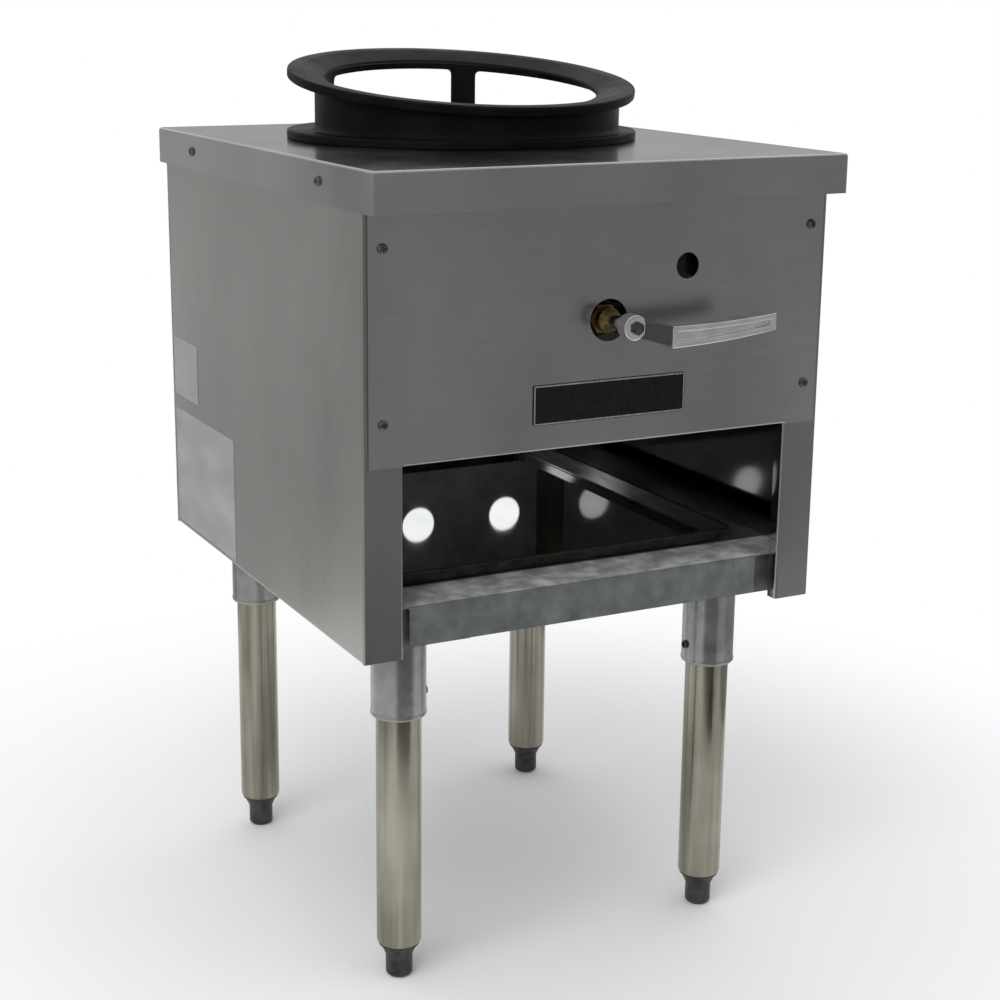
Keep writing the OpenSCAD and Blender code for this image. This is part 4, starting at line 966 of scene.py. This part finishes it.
low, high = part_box("lever_screw")
washer_y = high.y - washer_t
bolt = bmesh.new()
washer_profile = ((0, 0), (washer_r, 0), (washer_r, washer_t), (0, washer_t))
turned(bolt, washer_profile, (stem.x, washer_y, stem.z), along_y=True, steps=40)
for face in bolt.faces:
    face.material_index = 1
head_place = Matrix.Translation((stem.x, (low.y + washer_y) / 2, stem.z))
bmesh.ops.create_cone(bolt, cap_ends=True, segments=6, radius1=hex_r, radius2=hex_r, depth=washer_y - low.y,
                      matrix=head_place @ Matrix.Rotation(math.pi / 2, 4, "X"))
ease_edges(bolt, screw_edge_r, 2)
as_piece(bolt, "lever_bolt", "lever", [screw_black, lever_chrome], ["lever_screw"])


# Wok ring: a loose sand casting in black-painted iron that stands on the top plate. Its rim slants
# towards the cook and the wall has two windows at the back that let the hot gas out.
wall_r = 146 * mm
wall_t = 8 * mm
wall_forward = 12 * mm
flange_t = 8 * mm
flange_r = 168.5 * mm
flange_in_r = 123 * mm
flange_edge_r = 1.8 * mm
skirt_r = 142 * mm
skirt_h = 10 * mm
rim_in_r = 131 * mm
rim_r = 167.5 * mm
rim_top_w = 13 * mm
rim_edge = 9 * mm
rim_taper = 12.5 * mm
rim_lip = 5 * mm
rim_rise = 58.5 * mm
rim_edge_r = 2.2 * mm
rim_tilt = math.radians(7.4)
cove = 4 * mm
cove_sink = 1 * mm
sill_rise = 15 * mm
head_drop = 15 * mm
window_corner_r = 6 * mm
window_edge_r = 1.2 * mm
windows = ((-44, 20), (30, 94))
ring_steps = 180

ring_iron = begin_finish("ring_iron", Specular_IOR_Level=0.07)
sand = grain(ring_iron, (520, 520, 520), 3.0)
wear = grain(ring_iron, (22, 22, 22), 4.0)
tint(ring_iron, blend(ring_iron, wear, sand, 0.3), (0.002, 0.002, 0.002), (0.006, 0.006, 0.006))
polish(ring_iron, wear, 0.36, 0.52)
emboss(ring_iron, sand, 0.12 * mm)

flange_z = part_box("top_plate")[1].z
ring_centre = Vector((0, burner_y, flange_z))
wall_centre = ring_centre - Vector((0, wall_forward, 0))
ring = bmesh.new()
turned(ring, (
    (flange_in_r, -skirt_h),
    (skirt_r, -skirt_h),
    (skirt_r, 0),
    (flange_r, 0),
    (flange_r, flange_t),
    (flange_in_r, flange_t),
    (flange_in_r, -skirt_h),
), ring_centre, steps=ring_steps)
ease_edges(ring, flange_edge_r)

rim = bmesh.new()
turned(rim, (
    (rim_r - rim_top_w, 0),
    (rim_r, 0),
    (rim_r, -rim_edge),
    (rim_in_r, -rim_taper),
    (rim_in_r, rim_lip - rim_taper),
    (rim_r - rim_top_w, 0),
), (0, 0, 0), steps=ring_steps)
ease_edges(rim, rim_edge_r, over=15)
lean = Matrix.Translation(ring_centre + Vector((0, 0, rim_rise))) @ Matrix.Rotation(rim_tilt, 4, "X")
bmesh.ops.transform(rim, matrix=lean, verts=rim.verts[:])

wall = bmesh.new()
wall_in_r = wall_r - wall_t
head_rise = rim_rise - head_drop / math.cos(rim_tilt)
wall_top = rim_rise - rim_edge / math.cos(rim_tilt)
turned(wall, (
    (wall_in_r, flange_t / 2),
    (wall_r + cove, flange_t - cove_sink),
    (wall_r + 0.3 * cove, flange_t + 0.4 * cove),
    (wall_r, flange_t + cove),
    (wall_r, sill_rise),
    (wall_r, head_rise),
    (wall_r, wall_top),
    (wall_in_r, wall_top),
    (wall_in_r, head_rise),
    (wall_in_r, sill_rise),
    (wall_in_r, flange_t / 2),
), wall_centre, steps=ring_steps)


def in_window(face, start, stop):
    """Whether a face of the wall lies in a window, given by angles from the back towards the right."""
    spot = face.calc_center_median() - wall_centre
    return start < math.degrees(math.atan2(spot.x, spot.y)) < stop and sill_rise < spot.z < head_rise


def reach(vert):
    """How far a vertex is from the wall's axis."""
    return (vert.co - wall_centre).xy.length


slanted = [v for v in wall.verts if v.co.z > flange_z + sill_rise + touch]
fall = math.tan(rim_tilt)
slope = Matrix()
slope[2][1] = fall
slope[2][3] = -fall * ring_centre.y
for start, stop in windows:
    band = [f for f in wall.faces if in_window(f, start, stop)]
    mouth = {e for f in band for e in f.edges if any(g not in band for g in e.link_faces)}
    bmesh.ops.delete(wall, geom=band, context="FACES")
    bmesh.ops.bridge_loops(wall, edges=[e for e in mouth if e.is_valid])
bmesh.ops.transform(wall, matrix=slope, verts=[v for v in slanted if v.is_valid])
agree_sides(wall)
radial = [e for e in sharp_edges(wall, 60) if abs(reach(e.verts[0]) - reach(e.verts[1])) > wall_t / 2]
round_edges(wall, radial, window_corner_r)
top_z = flange_z + wall_top - touch
top_ring = {v for v in wall.verts if v.co.z > top_z + fall * (v.co.y - ring_centre.y)}
window_edges = [e for e in sharp_edges(wall, 50) if not top_ring.intersection(e.verts)]
round_edges(wall, window_edges, window_edge_r, 2)
add_part(ring, rim)
add_part(ring, wall)
as_piece(ring, "ring_casting", "wok_ring", [ring_iron], ["wok_ring"], 40)


# Studio: a round pale floor that fades into a white sweep, grey screens that show only in the metal,
# two soft lamps and the camera at the photograph's place.
floor_r = 1.7
floor_fade = (0.4, 0.95)
floor_grey = 0.93
wall_grey = 0.5
mat_z = 1 * mm
lamp_target = Vector((0, 0, 0.45))
lens_px = 1869.152
image_px = 1000
sensor_mm = 36
camera_place = Vector((-819.208, -1603.601, 882.733)) * mm
camera_yaw = math.radians(-26.503)
camera_pitch = math.radians(13.949)
camera_roll = math.radians(0.341)
middle_px = (460, 460)


def seen_directly(tree):
    """One for what the camera sees, straight, mirrored or through glass, and nothing for plain light."""
    path = tree.nodes.new("ShaderNodeLightPath")
    total = path.outputs["Is Camera Ray"]
    for ray in ("Is Glossy Ray", "Is Transmission Ray"):
        most = tree.nodes.new("ShaderNodeMath")
        most.operation = "MAXIMUM"
        tree.links.new(total, most.inputs[0])
        tree.links.new(path.outputs[ray], most.inputs[1])
        total = most.outputs[0]
    return total


pale = begin_finish("pale_floor", Roughness=1.0, Specular_IOR_Level=0.0)
tree = pale.node_tree
shader = tree.nodes["Principled BSDF"]
shader.inputs["Base Color"].default_value = (floor_grey, floor_grey, floor_grey, 1)
place = tree.nodes.new("ShaderNodeTexCoord")
away = tree.nodes.new("ShaderNodeVectorMath")
away.operation = "LENGTH"
fade = tree.nodes.new("ShaderNodeMapRange")
fade.interpolation_type = "SMOOTHSTEP"
fade.inputs["From Min"].default_value, fade.inputs["From Max"].default_value = floor_fade
share = tree.nodes.new("ShaderNodeMath")
share.operation = "MULTIPLY"
white = tree.nodes.new("ShaderNodeEmission")
mix = tree.nodes.new("ShaderNodeMixShader")
tree.links.new(place.outputs["Object"], away.inputs[0])
tree.links.new(away.outputs["Value"], fade.inputs["Value"])
tree.links.new(fade.outputs["Result"], share.inputs[0])
tree.links.new(seen_directly(tree), share.inputs[1])
tree.links.new(share.outputs[0], mix.inputs["Fac"])
tree.links.new(shader.outputs["BSDF"], mix.inputs[1])
tree.links.new(white.outputs["Emission"], mix.inputs[2])
tree.links.new(mix.outputs["Shader"], tree.nodes["Material Output"].inputs["Surface"])
disc = bmesh.new()
bmesh.ops.create_circle(disc, cap_ends=True, segments=96, radius=floor_r)
floor = as_object(disc, "floor", pale)

room = bpy.data.worlds.new("studio")
bpy.context.scene.world = room
room.use_nodes = True
tree = room.node_tree
tree.nodes.clear()
sweep = tree.nodes.new("ShaderNodeBackground")
walls = tree.nodes.new("ShaderNodeBackground")
mix = tree.nodes.new("ShaderNodeMixShader")
out = tree.nodes.new("ShaderNodeOutputWorld")
sweep.inputs["Color"].default_value = (1, 1, 1, 1)
walls.inputs["Color"].default_value = (wall_grey, wall_grey, wall_grey, 1)
tree.links.new(seen_directly(tree), mix.inputs["Fac"])
tree.links.new(walls.outputs["Background"], mix.inputs[1])
tree.links.new(sweep.outputs["Background"], mix.inputs[2])
tree.links.new(mix.outputs["Shader"], out.inputs["Surface"])


def cloth_ends(low, high):
    """The four corners of a level or an upright cloth, from two opposite ones."""
    if low[2] == high[2]:
        return low, (high[0], low[1], low[2]), high, (low[0], high[1], low[2])
    return low, (high[0], high[1], low[2]), high, (low[0], low[1], high[2])


for name, low, high, grey in (
    ("front_screen", (-2.4, -0.75, 0.18), (2.4, -0.75, 1.6), 0.3),
    ("front_low_left", (-2.4, -0.75, 0), (-0.5, -0.75, 0.18), 0.55),
    ("front_low_dark", (-0.5, -0.75, 0), (0.25, -0.75, 0.18), 0.12),
    ("front_low_right", (0.25, -0.75, 0), (2.4, -0.75, 0.18), 0.5),
    ("front_mat", (-0.5, -0.75, mat_z), (0.25, -0.63, mat_z), 0.12),
    ("left_screen", (-0.65, -0.7, 0.2), (-0.65, 0.6, 1.4), 0.38),
    ("left_low", (-0.65, -0.7, 0), (-0.65, 0.6, 0.2), 0.7),
    ("dark_curtain", (-0.65, 0.6, 0), (-0.65, 0.92, 1.4), 0.3),
    ("left_rear_screen", (-0.65, 0.92, 0), (-0.65, 2.5, 1.4), 0.47),
    ("right_screen", (0.65, -0.7, 0), (0.65, 2.5, 0.7), 0.36),
    ("back_screen", (-8, 6, 0), (8, 6, 2.1), 0.4),
    ("far_right_screen", (8, -6, 0), (8, 6, 2.1), 0.4),
    ("floor_cloth", (-0.75, 0.8, mat_z), (-0.25, 2.5, mat_z), 0.47),
    ("ceiling", (-8, -2, 2.55), (8, 6, 2.55), 0.7),
):
    even_grey = bpy.data.materials.new(name)
    even_grey.use_nodes = True
    tree = even_grey.node_tree
    glow = tree.nodes.new("ShaderNodeEmission")
    glow.inputs["Color"].default_value = (grey, grey, grey, 1)
    tree.links.new(glow.outputs["Emission"], tree.nodes["Material Output"].inputs["Surface"])
    cloth = bmesh.new()
    cloth.faces.new([cloth.verts.new(end) for end in cloth_ends(low, high)])
    screen = as_object(cloth, name, even_grey)
    screen.visible_camera = False
    screen.visible_diffuse = False
    screen.visible_transmission = False
    screen.visible_shadow = False

for name, spot, width, power in (
    ("key", (-1.9, -1.5, 2.2), 2.4, 46),
    ("overhead", (0.2, 0.3, 2.7), 3.2, 34),
):
    lamp = bpy.data.lights.new(name, "AREA")
    lamp.shape = "SQUARE"
    lamp.size = width
    lamp.energy = power
    holder = bpy.data.objects.new(name, lamp)
    holder.location = spot
    holder.rotation_mode = "QUATERNION"
    holder.rotation_quaternion = (lamp_target - Vector(spot)).to_track_quat("-Z", "Y")
    bpy.context.scene.collection.objects.link(holder)

ahead = Vector((
    -math.sin(camera_yaw) * math.cos(camera_pitch),
    math.cos(camera_yaw) * math.cos(camera_pitch),
    -math.sin(camera_pitch),
))
right = ahead.cross(Vector((0, 0, 1))).normalized()
up = right.cross(ahead)
roll_c = math.cos(camera_roll)
roll_s = math.sin(camera_roll)
axes = Matrix((roll_c * right + roll_s * up, roll_c * up - roll_s * right, -ahead)).transposed()
lens = bpy.data.cameras.new("camera")
lens.sensor_width = sensor_mm
lens.lens = sensor_mm * lens_px / image_px
lens.shift_x = (image_px / 2 - middle_px[0]) / image_px
lens.shift_y = (middle_px[1] - image_px / 2) / image_px
camera = bpy.data.objects.new("camera", lens)
camera.matrix_world = Matrix.Translation(camera_place) @ axes.to_4x4()
bpy.context.scene.collection.objects.link(camera)
bpy.context.scene.camera = camera
bpy.context.scene.view_settings.view_transform = "Standard"
